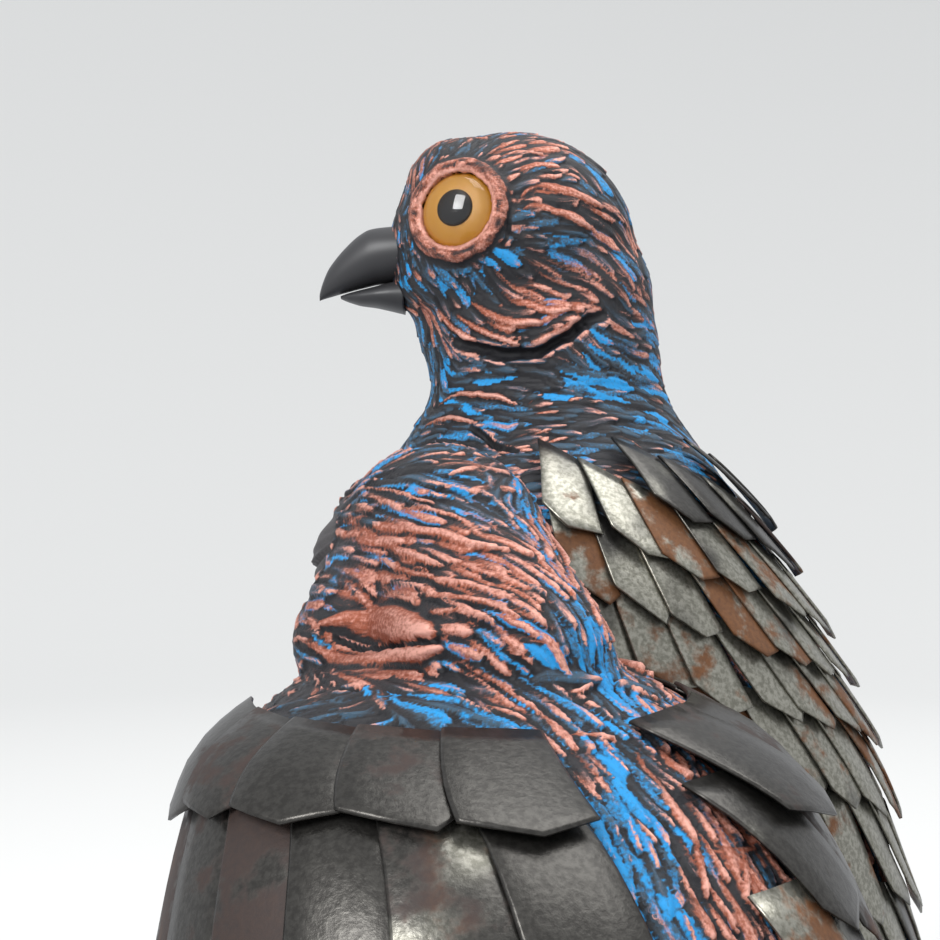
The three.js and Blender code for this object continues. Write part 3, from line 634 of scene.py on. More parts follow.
NESTLING_STROKES = [
    (8, 0.9, 0.45, 0.5, (385, 461, 420, 450, 450, 444, 481, 447)),
    (7, 1.0, 0.8, 0.2, (444, 458, 465, 455, 487, 454)),
    (13, 0.5, 0.0, 1.0, (470, 432, 490, 446, 512, 468)),
    (13, 0.9, 0.7, 0.3, (405, 471, 440, 466, 480, 468, 511, 478)),
    (6, 0.8, 0.65, 0.4, (384, 474, 420, 480, 452, 492)),
    (15, 0.9, 0.7, 0.2, (462, 485, 490, 488, 518, 495)),
    (7, 0.6, 0.0, 1.0, (411, 485, 435, 492, 456, 502)),
    (6, 0.6, 0.1, 0.95, (440, 478, 460, 487, 479, 493)),
    (6, 0.9, 0.8, 0.2, (333, 512, 345, 497, 366, 489, 396, 492, 440, 507)),
    (6, 0.8, 0.7, 0.3, (322, 522, 335, 500, 356, 487, 382, 481)),
    (5, 0.8, 0.6, 0.3, (318, 546, 322, 515, 338, 492)),
    (6, 0.5, 0.1, 0.95, (350, 500, 376, 495, 402, 500, 416, 505)),
    (9, 1.0, 0.85, 0.2, (352, 507, 396, 508, 432, 511, 456, 516, 476, 530, 514, 545)),
    (15, 1.3, 1.0, 0.0, (345, 519, 380, 526, 412, 530, 441, 534, 471, 546, 512, 556)),
    (13, 1.3, 1.0, 0.0, (368, 537, 396, 550, 426, 562, 442, 567)),
    (9, 1.1, 0.95, 0.1, (436, 568, 460, 566, 485, 567, 512, 576)),
    (10, 1.1, 0.95, 0.1, (362, 559, 386, 565, 412, 575, 441, 580, 480, 590, 517, 599)),
    (5, 0.4, 0.1, 0.95, (352, 546, 366, 547, 386, 551)),
    (6, 0.4, 0.1, 0.9, (355, 560, 370, 564, 388, 575)),
    (10, 1.1, 0.9, 0.1, (388, 587, 410, 588, 441, 596, 470, 600, 501, 610, 524, 622)),
    (10, 1.1, 1.0, 0.0, (482, 600, 505, 608, 526, 616, 547, 625)),
    (8, 1.0, 0.9, 0.1, (404, 604, 432, 611, 461, 612, 486, 621)),
    (36, 2.0, 1.0, 0.0, (322, 622, 345, 618, 375, 620, 404, 627, 440, 635)),
    (23, 1.7, 1.0, 0.0, (308, 642, 330, 655, 352, 662, 378, 661, 405, 654, 446, 649)),
    (6, 0.8, 0.5, 0.1, (303, 646, 310, 670, 325, 692)),
    (5, 0.8, 0.5, 0.1, (311, 658, 324, 676, 338, 688)),
    (10, 1.2, 0.9, 0.1, (442, 634, 470, 640, 496, 660, 516, 682)),
    (9, 1.0, 0.85, 0.3, (496, 645, 516, 652, 538, 667)),
    (9, 1.0, 0.85, 0.2, (503, 631, 532, 640, 567, 650)),
    (22, 1.5, 0.3, 0.55, (524, 684, 545, 678, 575, 680, 598, 686)),
    (6, 1.6, 0.8, 0.2, (543, 693, 568, 697, 592, 690)),
    (8, 1.0, 0.8, 0.3, (424, 660, 452, 666, 481, 681, 511, 706, 536, 727)),
    (9, 1.1, 0.9, 0.2, (440, 655, 470, 665, 500, 686, 522, 702, 547, 721)),
    (8, 1.0, 0.8, 0.3, (458, 699, 490, 705, 520, 718, 541, 726)),
    (7, 0.9, 0.5, 0.5, (398, 681, 430, 690, 461, 700, 486, 712)),
    (9, 0.6, 0.0, 1.0, (363, 682, 371, 694)), (7, 0.6, 0.0, 0.95, (384, 688, 401, 695, 441, 700)),
    (6, 0.6, 0.0, 0.95, (440, 703, 452, 712, 476, 717)),
    (8, 0.6, 0.0, 1.0, (498, 722, 524, 730, 537, 734)),
    (8, 0.6, 0.1, 0.9, (458, 729, 481, 735, 502, 746, 517, 758)),
    (7, 0.6, 0.1, 0.85, (540, 697, 560, 705, 572, 713)),
    (6, 1.0, 1.0, 0.0, (551, 729, 561, 740, 580, 735, 600, 733, 618, 741)),
    (17, 0.6, 0.0, 1.0, (577, 746, 600, 750, 617, 765, 627, 784)),
    (18, 0.7, 0.0, 1.0, (617, 728, 636, 720)),
    (14, 1.1, 0.95, 0.1, (631, 746, 645, 770, 666, 796, 690, 832, 700, 850)),
    (14, 1.1, 0.95, 0.1, (654, 746, 670, 765, 690, 778)),
    (13, 0.8, 0.7, 0.2, (560, 754, 575, 775, 591, 791, 602, 803)),
    (12, 0.6, 0.1, 0.85, (534, 744, 545, 765, 559, 787)),
    (6, 0.9, 0.7, 0.3, (600, 789, 620, 800, 640, 825, 657, 847)),
    (10, 0.7, 0.3, 0.7, (589, 800, 605, 821, 626, 848)),
    (8, 0.7, 0.1, 0.95, (654, 808, 662, 830, 668, 851, 681, 872)),
    (12, 1.1, 0.95, 0.1, (690, 828, 700, 858, 706, 885, 702, 902)),
    (10, 1.1, 0.95, 0.1, (702, 850, 730, 851, 745, 871, 746, 900, 757, 917)),
    (9, 0.7, 0.05, 0.95, (634, 858, 650, 880, 675, 901, 692, 927)),
    (12, 0.7, 0.0, 1.0, (609, 902, 621, 920, 641, 942)),
    (9, 0.8, 0.5, 0.4, (624, 878, 641, 900, 662, 932)),
    (16, 0.7, 0.0, 0.9, (727, 916, 750, 926)),
    (10, 0.9, 0.9, 0.1, (699, 888, 710, 915, 732, 942)),
    (14, 0.8, 0.75, 0.1, (752, 888, 771, 910, 792, 936)),
]
# Grooves pressed into the clay, their paint darkened as painted shade in the crease: width, depth, line
TALL_GROOVES = [
    (15, 1.6, (452, 341, 500, 355, 541, 352, 571, 337, 592, 321, 608, 313)),
    (5, 0.6, (507, 180, 511, 200, 509, 233, 499, 249)),
    (4, 0.5, (512, 181, 541, 172, 562, 173)),
    (10, 1.0, (470, 425, 495, 446, 520, 452)),
]
NESTLING_GROOVES = [
    (7, 1.2, (330, 637, 345, 642, 371, 647, 400, 648, 441, 641)),
    (14, 1.6, (333, 690, 349, 687, 364, 688)),
    (6, 0.9, (541, 703, 566, 706, 590, 701)),
]


def on_clay(tree, line):
    """A line of pixels as close-set points on the clay, or None if it misses."""
    found = [seen_at(tree, x, y) for x, y in zip(line[::2], line[1::2])]
    found = [p for p in found if p is not None]
    if len(found) < 2:
        return None
    return snapped(tree, np.array(found))


def snapped(tree, line):
    """A line with a point every 1.5 mm, all of them on the clay."""
    gaps = np.linalg.norm(np.diff(line, axis=0), axis=1)
    far = np.concatenate([[0], np.cumsum(gaps)])
    marks = np.linspace(0, far[-1], max(3, int(far[-1] / 1.5)))
    dense = np.stack([np.interp(marks, far, line[:, k]) for k in range(3)], -1)
    return np.array([np.array(tree.find_nearest(Vector(p))[0]) for p in dense])


def mirrored(bird, points):
    """Points reflected to the other side of a bird's head."""
    _, left = compass(bird["head"]["heading"])
    centre = np.array(bird["head"]["centre"], float)
    return points - 2 * ((points - centre) @ left)[:, None] * left


def lie_of(bird, tree, arrows):
    """Arrows on the clay with their mirror images: places, directions, and the numbers."""
    rows = []
    for x0, y0, x1, y1, *style in arrows:
        a, b = seen_at(tree, x0, y0), seen_at(tree, x1, y1)
        if a is not None and b is not None:
            rows.append(((a + b) / 2, unit(b - a), style))
    places = np.array([r[0] for r in rows])
    ways = np.array([r[1] for r in rows])
    _, left = compass(bird["head"]["heading"])
    turned = ways - 2 * (ways @ left)[:, None] * left
    styles = np.array([r[2] for r in rows])
    return (np.vstack([places, mirrored(bird, places)]), np.vstack([ways, turned]),
            np.vstack([styles, styles]))


lies = {"tall_dove": lie_of(TALL, trees["tall_dove"], TALL_LIE),
        "nestling_dove": lie_of(NESTLING, trees["nestling_dove"], NESTLING_LIE)}
print({name: len(lie[0]) for name, lie in lies.items()})

# %% [markdown]
# ## The carving itself
# A stroke is a leaf of clay: low at its root, highest near its tip, with sharp edges. The traced
# strokes come first. Then smaller ones are scattered over the skin until no place is bare. Where
# two meet the higher one wins, which leaves the narrow black crevices of the real surface. The
# script remembers for each point how high it stands on its stroke and how that was painted.

# %% Carving tools


class Cloud:
    """Finds which of many points lie in a small box."""

    def __init__(self, points, cell):
        keys = np.floor(points / cell).astype(np.int64)
        self.cell = cell
        self.low = keys.min(0)
        keys -= self.low
        self.size = keys.max(0) + 1
        flat = (keys[:, 0] * self.size[1] + keys[:, 1]) * self.size[2] + keys[:, 2]
        self.order = np.argsort(flat, kind="stable")
        self.starts = np.searchsorted(flat[self.order], np.arange(self.size.prod() + 1))

    def inside(self, low, high):
        a = np.clip(np.floor(low / self.cell).astype(int) - self.low, 0, self.size - 1)
        b = np.clip(np.floor(high / self.cell).astype(int) - self.low, 0, self.size - 1)
        found = []
        for i in range(a[0], b[0] + 1):
            for j in range(a[1], b[1] + 1):
                row = (i * self.size[1] + j) * self.size[2]
                found.append(self.order[self.starts[row + a[2]]:self.starts[row + b[2] + 1]])
        return np.concatenate(found)


def lattice_noise(points, size, seed):
    """Smooth noise from -1 to 1 with lumps of a size in millimetres."""
    q = points / size
    cell = np.floor(q).astype(np.int64)
    t = q - cell
    t = t * t * (3 - 2 * t)
    total = np.zeros(len(points))
    for corner in np.ndindex(2, 2, 2):
        k = cell + corner
        h = (k[:, 0] * 374761393 + k[:, 1] * 668265263 + k[:, 2] * 2147483647 + seed * 974634777)
        h = (h ^ (h >> 13)) * 1274126177
        value = ((h ^ (h >> 16)) & 0xFFFF) / 32767.5 - 1
        weight = np.prod(np.where(corner, t, 1 - t), axis=1)
        total += weight * value
    return total


class Carving:
    """The relief and the paint of one bird's clay."""

    def __init__(self, bird, points, normals):
        self.bird = bird
        self.points = points
        self.normals = normals
        self.cloud = Cloud(points, 3.0)
        self.relief = np.full(len(points), 0.02)
        self.crest = np.zeros(len(points))
        self.copper = np.full(len(points), 0.1)
        self.blue = np.full(len(points), 0.2)
        self.streak = np.zeros((len(points), 3))
        self.taken = np.zeros(len(points), bool)
        wobble = np.stack([lattice_noise(points, 4.0, s) for s in (1, 2, 3)], -1)
        ripple = np.stack([lattice_noise(points, 1.4, s) for s in (4, 5, 6)], -1)
        self.warped = points + 0.4 * wobble + 0.16 * ripple
        self.tree = trees[bird["name"]]
        self.lie = lies[bird["name"]]

    def blended(self, p):
        """The direction and the numbers of the arrows round a place."""
        places, ways, styles = self.lie
        weight = 1 / (np.sum((places - p) ** 2, axis=1) + 4) ** 2
        forward, _ = compass(self.bird["heading"])
        rest = 1 / 18.0 ** 4
        down = np.array([0, 0, -1.0]) - 0.55 * forward
        plain = np.array([10, 2.6, 0.8, 0.6, 0.55])
        style = (weight @ styles + rest * plain) / (weight.sum() + rest)
        return weight @ ways + rest * unit(down), style

    def path_from(self, p, length, turn):
        """A line along the lie of the plumage from a place, snapped to the skin."""
        steps = 4
        q = np.array(p)
        line = [q]
        for _ in range(steps):
            normal = np.array(self.tree.find_nearest(Vector(q))[1])
            way, _ = self.blended(q)
            way = unit(way - (way @ normal) * normal)
            way = way * math.cos(turn) + np.cross(normal, way) * math.sin(turn)
            q = np.array(self.tree.find_nearest(Vector(q + way * length / steps))[0])
            line.append(q)
        return np.array(line)

    def across(self, line, half):
        """The points near a line: their indices, distance over half, share along, and side."""
        ids = self.cloud.inside(line.min(0) - half * 1.3, line.max(0) + half * 1.3)
        q = self.warped[ids]
        a, b = line[:-1], line[1:]
        run = b - a
        size = np.maximum((run ** 2).sum(1), 1e-9)
        t = np.clip(((q[:, None] - a) * run).sum(2) / size, 0, 1)
        off = q[:, None] - (a + t[..., None] * run)
        gap = np.linalg.norm(off, axis=2)
        best = gap.argmin(1)
        rows = np.arange(len(ids))
        gap = gap[rows, best]
        share = (best + t[rows, best]) / len(run)
        normal = self.normals[ids[gap.argmin()]]
        side = np.sign((off[rows, best] * np.cross(normal, run[best])).sum(1))
        good = (gap < half) & (self.normals[ids] @ normal > 0.1)
        return ids[good], gap[good] / half, share[good], side[good]

    def stamp(self, line, half, height, copper, blue, root=0.4):
        """Raises one stroke along a line. The numbers are in millimetres."""
        ids, x, share, side = self.across(line, half)
        taper = np.sqrt(np.clip(share / 0.3, 0.06, 1)) * np.sqrt(np.clip((1 - share) / 0.2, 0.01, 1))
        y = np.minimum(x / taper, 1)
        shape = (root + (1 - root) * share) * (1 - y ** 2.4)
        value = height * shape
        better = value > self.relief[ids]
        won = ids[better]
        self.relief[won] = value[better]
        self.crest[won] = shape[better]
        self.copper[won] = copper
        self.blue[won] = blue
        length = np.linalg.norm(np.diff(line, axis=0), axis=1).sum()
        self.streak[won, 0] = (side * x)[better] * half
        self.streak[won, 1] = share[better] * length
        self.streak[won, 2] = rng.random()
        self.taken[ids[(y < 0.9) & (share < 0.7)]] = True

    def groove_with_painted_shade(self, line, half, depth):
        """Presses a groove along a line and darkens its paint: partly the black base coat left in the crease, partly
        painted shade.
        """
        ids, x, share, _ = self.across(line, half)
        fade = np.sqrt(np.clip(share / 0.2, 0, 1) * np.clip((1 - share) / 0.2, 0, 1))
        press = (1 - x ** 2) ** 1.5 * fade
        self.relief[ids] -= depth * press
        # Less crest, copper and blue leave the crease black: partly the black base coat, partly painted shade in the
        # crease.
        self.crest[ids] *= 1 - press
        self.copper[ids] *= 1 - 0.8 * press
        self.blue[ids] *= 1 - 0.8 * press

    def trace(self, strokes, scale):
        """Stamps the traced strokes and their mirror images."""
        for width, height, copper, blue, pixels in strokes:
            line = on_clay(self.tree, pixels)
            if line is None:
                continue
            half = width / 2 * scale * 1.15
            self.stamp(line, half, height, copper, blue)
            other = snapped(self.tree, mirrored(self.bird, line))
            self.stamp(other, half, height * 0.95, copper, blue)

    def scatter(self, order):
        """Covers every place that is still bare with strokes."""
        count = 0
        for i in order:
            if self.taken[i]:
                continue
            p = self.points[i]
            way, (length, width, height, copper, blue) = self.blended(p)
            spread = rng.normal(size=5).clip(-1.6, 1.6)
            length *= 1 + 0.3 * spread[0]
            half = width * 0.62 * (1 + 0.25 * spread[1])
            height *= 1 + 0.25 * spread[2]
            line = self.path_from(p - unit(way) * 0.25 * length, length, 0.12 * spread[3])
            copper = np.clip(copper + 0.2 * spread[4], 0, 1)
            blue = np.clip(blue + 0.25 * rng.normal(), 0, 1)
            self.stamp(line, half, height, copper, blue)
            self.taken[i] = True
            count += 1
        return count


# %% [markdown]
# ## Eyelids and sockets
# Strokes stop at the eyes. The taller bird has a socket for each glass eye inside a copper ring.
# The nestling one's eyes are shut: a smooth dark lid with one closing line and fine wrinkles.

# %% Eyes in the clay


def eye_places(bird):
    """Centre and axes (right of the eye, up, outwards) of both eyes, in the part's frame."""
    matrix = head_frame(bird["head"])
    turn = matrix.to_3x3()
    for side in (1, -1):
        aim = turn @ eye_aim(side)
        up = turn @ Vector((0, 0, 1))
        across = up.cross(aim).normalized()
        seat = matrix @ eye_seat(bird["head"], side)
        yield tuple(np.array(v) for v in (seat, across, aim.cross(across), aim))


def shape_eyes(work, shape):
    """Clears the strokes off the eyes of a carving. Returns the lid mask."""
    mask = np.zeros(len(shape))
    for seat, across, up, aim in eye_places(work.bird):
        offset = work.points - seat
        x, y, out = offset @ across, offset @ up, offset @ aim
        r = np.hypot(x, y)
        if work.bird["head"]["glass_eyes"]:
            ring = np.clip((9.4 - r) / 1.2, 0, 1) * (out > -2) * (out < 7)
            wrinkle = 0.12 * lattice_noise(np.stack([np.arctan2(y, x) * 7, r * 2, out], -1), 1.3, 31)
            work.relief += ring * (0.45 + wrinkle - work.relief)
            work.crest += ring * (np.clip(0.75 + 2 * wrinkle - 0.5 * (r > 8.4), 0, 1) - work.crest)
            work.copper += ring * (0.8 - work.copper)
            work.blue += ring * (0.2 - work.blue)
            hole = (r < 5.9) & (out > -1) & (out < 9)
            work.relief[hole] = 0.45 - (out[hole] + 0.6)
            work.crest[hole] = 0
        else:
            lid = np.clip((6.2 - r) / 0.9, 0, 1) * (out > -2) * (out < 9)
            line = y + 1.1 - 0.05 * x ** 2
            crease = np.exp(-(line / 0.35) ** 2) * 0.55
            folds = 0.14 * np.sin(line * 3.2) * np.exp(-(line / 2.6) ** 2)
            work.relief += lid * (0.4 + folds - crease - work.relief)
            work.crest += lid * (0.5 - 0.9 * crease - work.crest)
            work.copper *= 1 - lid
            work.blue *= 1 - lid
            mask = np.maximum(mask, lid)
    return mask


# %% [markdown]
# ## Cutting each bird into a fine upper and a coarser lower piece
# The heads, necks and backs are seen close, so they get a mesh of under half a millimetre. The
# rest of the clay is mostly under feathers and gets a coarser one that tucks in behind the fine
# one's edge. Both are carved by the same strokes, so the relief runs on across the edge.

# %% Carve both birds
FINE = {"tall_dove": (150, 0.38), "nestling_dove": (84, 0.46)}
TRACED = {"tall_dove": (TALL_STROKES, TALL_GROOVES, 0.158),
          "nestling_dove": (NESTLING_STROKES, NESTLING_GROOVES, 0.128)}
COARSE = 0.8
TUCK = 2.0


def part_of(mesh, keep):
    """The points, normals and faces of a mesh where keep(height of the point) is true."""
    points, normals, faces = arrays(mesh)
    points = relaxed(points, faces, 3)
    faces = faces[keep(points[faces, 2].mean(1))]
    used = np.unique(faces)
    index = np.zeros(len(points), np.int64)
    index[used] = np.arange(len(used))
    return points[used], normals[used], index[faces]


def carved(bird):
    """The two carved clay pieces of a bird, as mesh arrays with their paint."""
    name = bird["name"]
    cut, voxel = FINE[name]
    high = part_of(remeshed(clay[name].copy(), voxel), lambda z: z > cut)
    low = part_of(remeshed(clay[name].copy(), COARSE), lambda z: z < cut + TUCK)
    split = len(high[0])
    points = np.vstack([high[0], low[0]])
    normals = np.vstack([high[1], low[1]])
    faces = np.vstack([high[2], low[2] + split])
    work = Carving(bird, points, normals)
    strokes, grooves, scale = TRACED[name]
    work.trace(strokes, scale)
    count = work.scatter(rng.permutation(len(points)))
    # The grooves are pressed in and darkened with painted shade.
    for width, depth, pixels in grooves:
        line = on_clay(work.tree, pixels)
        if line is not None:
            work.groove_with_painted_shade(line, width / 2 * scale, depth)
            work.groove_with_painted_shade(snapped(work.tree, mirrored(bird, line)), width / 2 * scale, depth)
    mask = shape_eyes(work, points)
    soft = relaxed(work.relief[:, None].repeat(3, 1), faces, 8)[:, 0]
    hollow = work.relief - soft
    relief = work.relief + 0.5 * np.clip(hollow, -0.5, 0.3) - 0.45
    shape = points + normals * relief[:, None]
    sunk = np.clip((shape[split:, 2] - (cut - 0.5)) / TUCK, 0, 1) * 0.35
    shape[split:] -= normals[split:] * sunk[:, None]
    # crest sets where the blue and copper lie. In the material it also sets the pale copper on the highest points,
    # which is a painted highlight.
    crest = np.clip(0.55 * work.crest + 1.6 * hollow + 0.15, 0, 1)
    paint = np.stack([crest, work.copper, work.blue, mask], -1)
    streak = np.column_stack([work.streak, work.crest])
    print(name, "strokes", count, "points", len(points), "faces", len(high[2]), len(low[2]))
    return [(shape[:split], high[2], paint[:split], streak[:split]),
            (shape[split:], low[2], paint[split:], streak[split:])]


pieces = {}
for bird in (TALL, NESTLING):
    name = bird["name"]
    for word, (points, faces, paint, streak) in zip(("upper", "lower"), carved(bird)):
        mesh = new_mesh(f"{name}_{word}_clay", points, faces)
        carve_colours(mesh, "paint", paint)
        carve_colours(mesh, "streak", streak)
        mesh.shade_smooth()
        piece = place(f"{name}_{word}_clay", mesh)
        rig.ride(piece, "root")
        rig.slot(piece, "painted_clay")
        pieces[piece.name] = piece
    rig.replaces(pieces[f"{name}_lower_clay"], f"{name}_body")

# %% [markdown]
# ## Steel feathers
# Every feather is its own strip of half-millimetre sheet: straight sides, a pointed or slanted
# end cut with shears, a little crowned across, and bent along its length to follow the bird.
# Neighbours overlap like roof tiles, so one side of each feather rides over the next. Each row
# of separate feathers stands for one closed band of the CAD part.

# %% One feather and one row


def feather(corner, tip_side, tip_cut, crown):
    """Points, faces and finish of one feather. corner(v, u, height) gives a place on it."""
    us = np.array([0, 0.16, 0.32, 0.48, 0.64, 0.78, 0.9, 0.965, 1.0])
    vs = np.array([-1, -0.93, -0.5, tip_side, 0.5, 0.93, 1.0])
    left, right = tip_cut
    ends = np.where(vs < tip_side, 1 - left * (tip_side - vs) / (1 + tip_side),
                    1 - right * (vs - tip_side) / (1 - tip_side))
    u = us[:, None] * ends[None, :]
    v = np.broadcast_to(vs, u.shape)
    border = (np.abs(v) > 0.99) | (np.broadcast_to(us[:, None], u.shape) > 0.99)
    lifted = crown * (1 - v ** 2)
    top = corner(v, u, lifted + STEEL * 0.5 - 0.12 * border)
    bottom = corner(v, u, lifted - STEEL * 0.5 + 0.08 * border)
    rows, columns = u.shape
    points = np.vstack([top.reshape(-1, 3), bottom.reshape(-1, 3)])
    index = np.arange(rows * columns).reshape(rows, columns)
    a, b, c, d = index[:-1, :-1], index[:-1, 1:], index[1:, 1:], index[1:, :-1]
    upper = np.stack([a, b, c, d], -1).reshape(-1, 4)
    lower = upper[:, ::-1] + rows * columns
    rim = np.concatenate([index[:, 0], index[-1, 1:], index[-2::-1, -1], index[0, -2:0:-1]])
    after = np.roll(rim, -1)
    under = rows * columns
    walls = np.stack([rim, after, after + under, rim + under], -1)
    edge = np.minimum.reduce([(1 - np.abs(v)) * 6, (ends - u) * 9, np.ones_like(u)])
    return points, np.vstack([upper, lower, walls]), np.tile(edge.ravel(), 2), np.tile(u.ravel(), 2)


def wing_row(bird, side, row):
    """All feathers of one row. side is 1 for the left wing and -1 for the right."""
    wing = dict(bird["wing"])
    if side < 0:
        wing.update(wing.get("right", {}))
    index = max(row, 0)
    length = wing["reach"][index]
    pitch = wing["pitch"][min(index, len(wing["pitch"]) - 1)]
    drop = row * wing["pitch"][0] if row < 0 else sum(wing["pitch"][:row])

    def root_z(angle):
        top = wing["top"] - wing["slant"] * (angle - wing["front"])
        return walk(bird, top, side * angle, drop, 0)[0]

    start = wing["front"] + (wing["drift"] * drop if row > 0 else 0)
    while root_z(start) > wing["top"] + 0.5:
        start += 2
    rear = wing["back"] - (wing["tail_room"] if row == wing["rows"] - 1 else 0)
    marks = np.linspace(start, rear, 9)
    edge = skin(bird, root_z(marks), side * marks)
    girth = np.linalg.norm(np.diff(edge, axis=0), axis=1).sum()
    count = max(2, round(girth / (wing["width"] * 0.92)))
    step = (rear - start) / count
    rise = (STEEL + wing["clear"] + 0.15) / pitch
    all_points, all_faces, finish = [], [], []
    base = 0
    for i in range(count):
        luck = rng.normal(size=8).clip(-2, 2)
        middle = start + (i + 0.5) * step
        share = (middle - wing["front"]) / (wing["back"] - wing["front"])
        sweep = wing["sweep"][0] + (wing["sweep"][1] - wing["sweep"][0]) * share
        sweep = sweep * (1 - wing["ease"] * index / (wing["rows"] - 1)) + 2.2 * luck[0]
        half = step * 0.58
        reach = length * (1 + 0.04 * luck[1])
        lifted_tip = 0.25 * abs(luck[2])

        def corner(v, u, height):
            angle = middle + half * v
            z, turned = walk(bird, root_z(angle), angle * side, u * reach, side * sweep)
            flap = LIFT + 0.35 + rise * u * reach + lifted_tip * u ** 2
            return over(bird, z, turned, flap + height - 0.33 * v)

        tip_side = float(np.clip(0.1 + 0.25 * luck[3], -0.4, 0.45))
        cut = (0.1 + 0.04 * abs(luck[4]), 0.12 + 0.05 * abs(luck[5]))
        points, faces, rim, along = feather(corner, tip_side, cut, 0.15)
        if side < 0:
            faces = faces[:, ::-1]
        all_points.append(points)
        all_faces.append(faces + base)
        base += len(points)
        chance = rng.random()
        burnt = max(0.0, 1 - (row + wing["extra"]) * 0.45)
        finish.append(np.stack([rim, np.full(len(rim), chance), along,
                                np.full(len(rim), burnt)], -1))
    return np.vstack(all_points), np.vstack(all_faces), np.vstack(finish)


def steel_piece(name, points, faces, finish):
    """A steel piece that stands for the CAD node of the same name."""
    mesh = new_mesh(name + "_cut", points, faces)
    carve_colours(mesh, "finish", finish)
    piece = place(name + "_cut", mesh)
    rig.ride(piece, "root")
    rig.slot(piece, "feather_steel")
    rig.replaces(piece, name)
    pieces[piece.name] = piece
    return piece


total = 0
for bird in (TALL, NESTLING):
    for side, word in ((1, "left"), (-1, "right")):
        for row in range(-bird["wing"]["extra"], bird["wing"]["rows"]):
            name = f"{bird['name']}_{word}_wing_row_{row + bird['wing']['extra'] + 1}"
            points, faces, finish = wing_row(bird, side, row)
            steel_piece(name, points, faces, finish)
            total += len(faces)
print("wing faces", total)

# %% [markdown]
# ## Tail feathers
# Long strips fanned over the rump, the middle one on top.

# %% Tails
for bird in (TALL, NESTLING):
    for number, spot in enumerate((-2, -1, 0, 1, 2)):
        layer = (2 - abs(spot)) * 0.9 + 0.25

        def corner(v, u, height):
            forward, left = compass(bird["heading"])
            flat = [tail_point(bird, a, spot * 0.38 + b * 0.235, layer + h) for a, b, h in zip(
                u.ravel(), v.ravel(), np.broadcast_to(height, u.shape).ravel())]
            return np.array(flat).reshape(*u.shape, 3)

        points, faces, rim, along = feather(corner, 0.0, (0.07, 0.07), 0.12)
        finish = np.stack([rim, np.full(len(rim), rng.random()), along, np.zeros(len(rim))], -1)
        steel_piece(f"{bird['name']}_tail_feather_{number + 1}", points, faces, finish)

# %% [markdown]
# ## Beaks
# Horn-grey, in two halves with a fine gape line between them. Each half is a loft of egg-shaped
# rings: distance ahead of the skull's centre, top, bottom and half width.

# %% Beaks
UPPER_BEAK = [(17.5, 3.4, -5.6, 5.9), (20, 3.3, -5.9, 5.5), (22, 3.1, -6.1, 5.1), (23.6, 2.8, -6.5, 4.7),
              (25.6, 1.5, -7.0, 4.0), (28.1, -1.0, -7.7, 3.0), (30.1, -3.6, -8.3, 1.9),
              (31.1, -6.1, -8.6, 1.1), (31.5, -7.6, -8.8, 0.45)]
LOWER_BEAK = [(17.5, -5.4, -11.0, 5.2), (20, -5.9, -10.4, 4.9), (22.2, -6.5, -9.9, 4.4),
              (24.8, -7.1, -9.6, 3.3), (26.8, -7.6, -9.0, 2.1), (28.0, -8.0, -8.5, 0.9)]


def beak_half(rings, head, power):
    """A loft through the rings of one half of a beak, in the part's frame."""
    matrix = np.array(head_frame(head))
    scale = head["size"][0] / 20.3
    table = np.array(rings)
    fine = np.interp(np.linspace(0, len(table) - 1, 40), np.arange(len(table)), np.arange(len(table)))
    table = np.stack([np.interp(fine, np.arange(len(rings)), table[:, k]) for k in range(4)], -1)
    kernel = np.array([0.25, 0.5, 0.25])
    for _ in range(3):
        table[1:-1] = sum(w * table[k:len(table) - 2 + k] for k, w in enumerate(kernel))
    around = 40
    a = np.arange(around) / around * 2 * np.pi
    bm = bmesh.new()
    loops = []
    for ahead, top, bottom, half in table * scale:
        side = np.sign(np.cos(a)) * np.abs(np.cos(a)) ** power
        local = np.stack([np.full(around, ahead), half * side,
                          (top + bottom) / 2 + (top - bottom) / 2 * np.sin(a), np.ones(around)], -1)
        loops.append((local @ matrix.T)[:, :3])
    lofted(bm, loops)
    bmesh.ops.recalc_face_normals(bm, faces=bm.faces)
    bmesh.ops.transform(bm, matrix=Matrix.Scale(MM, 4), verts=bm.verts)
    return bm


for bird in (TALL, NESTLING):
    for word, rings, power in (("upper", UPPER_BEAK, 0.9), ("lower", LOWER_BEAK, 0.8)):
        bm = beak_half(rings, bird["head"], power)
        name = f"{bird['name']}_{word}_beak"
        mesh = bpy.data.meshes.new(name)
        bm.to_mesh(mesh)
        bm.free()
        mesh.shade_smooth()
        piece = place(name, mesh)
        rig.ride(piece, "root")
        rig.slot(piece, "painted_clay")
        pieces[name] = piece

# %% [markdown]
# ## Glass eyes
# A taxidermy eye is a clear dome over a painted iris with a black pupil. The dome, the iris and
# the pupil are separate here too, so the dome catches the window's light above the amber.

# %% Eyes
EYE_RADIUS = 6.1
EYE_DOME = 5.2


def turned(name, profile, place_at, around=64):
    """A piece turned on a lathe: (radius, height) pairs from the bottom middle to the top middle."""
    bm = bmesh.new()
    rings = []
    for radius, height in profile:
        if radius == 0:
            rings.append([bm.verts.new((0, 0, height))])
            continue
        rings.append([bm.verts.new((radius * math.cos(2 * math.pi * k / around),
                                    radius * math.sin(2 * math.pi * k / around), height))
                      for k in range(around)])
    for low, high in zip(rings, rings[1:]):
        for k in range(around):
            m = (k + 1) % around
            ring = [low[k % len(low)], low[m % len(low)], high[m % len(high)], high[k % len(high)]]
            bm.faces.new(list(dict.fromkeys(ring)))
    bmesh.ops.recalc_face_normals(bm, faces=bm.faces)
    bmesh.ops.transform(bm, matrix=Matrix.Scale(MM, 4) @ place_at, verts=bm.verts)
    mesh = bpy.data.meshes.new(name)
    bm.to_mesh(mesh)
    bm.free()
    mesh.shade_smooth()
    piece = place(name, mesh)
    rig.ride(piece, "root")
    pieces[name] = piece
    return piece


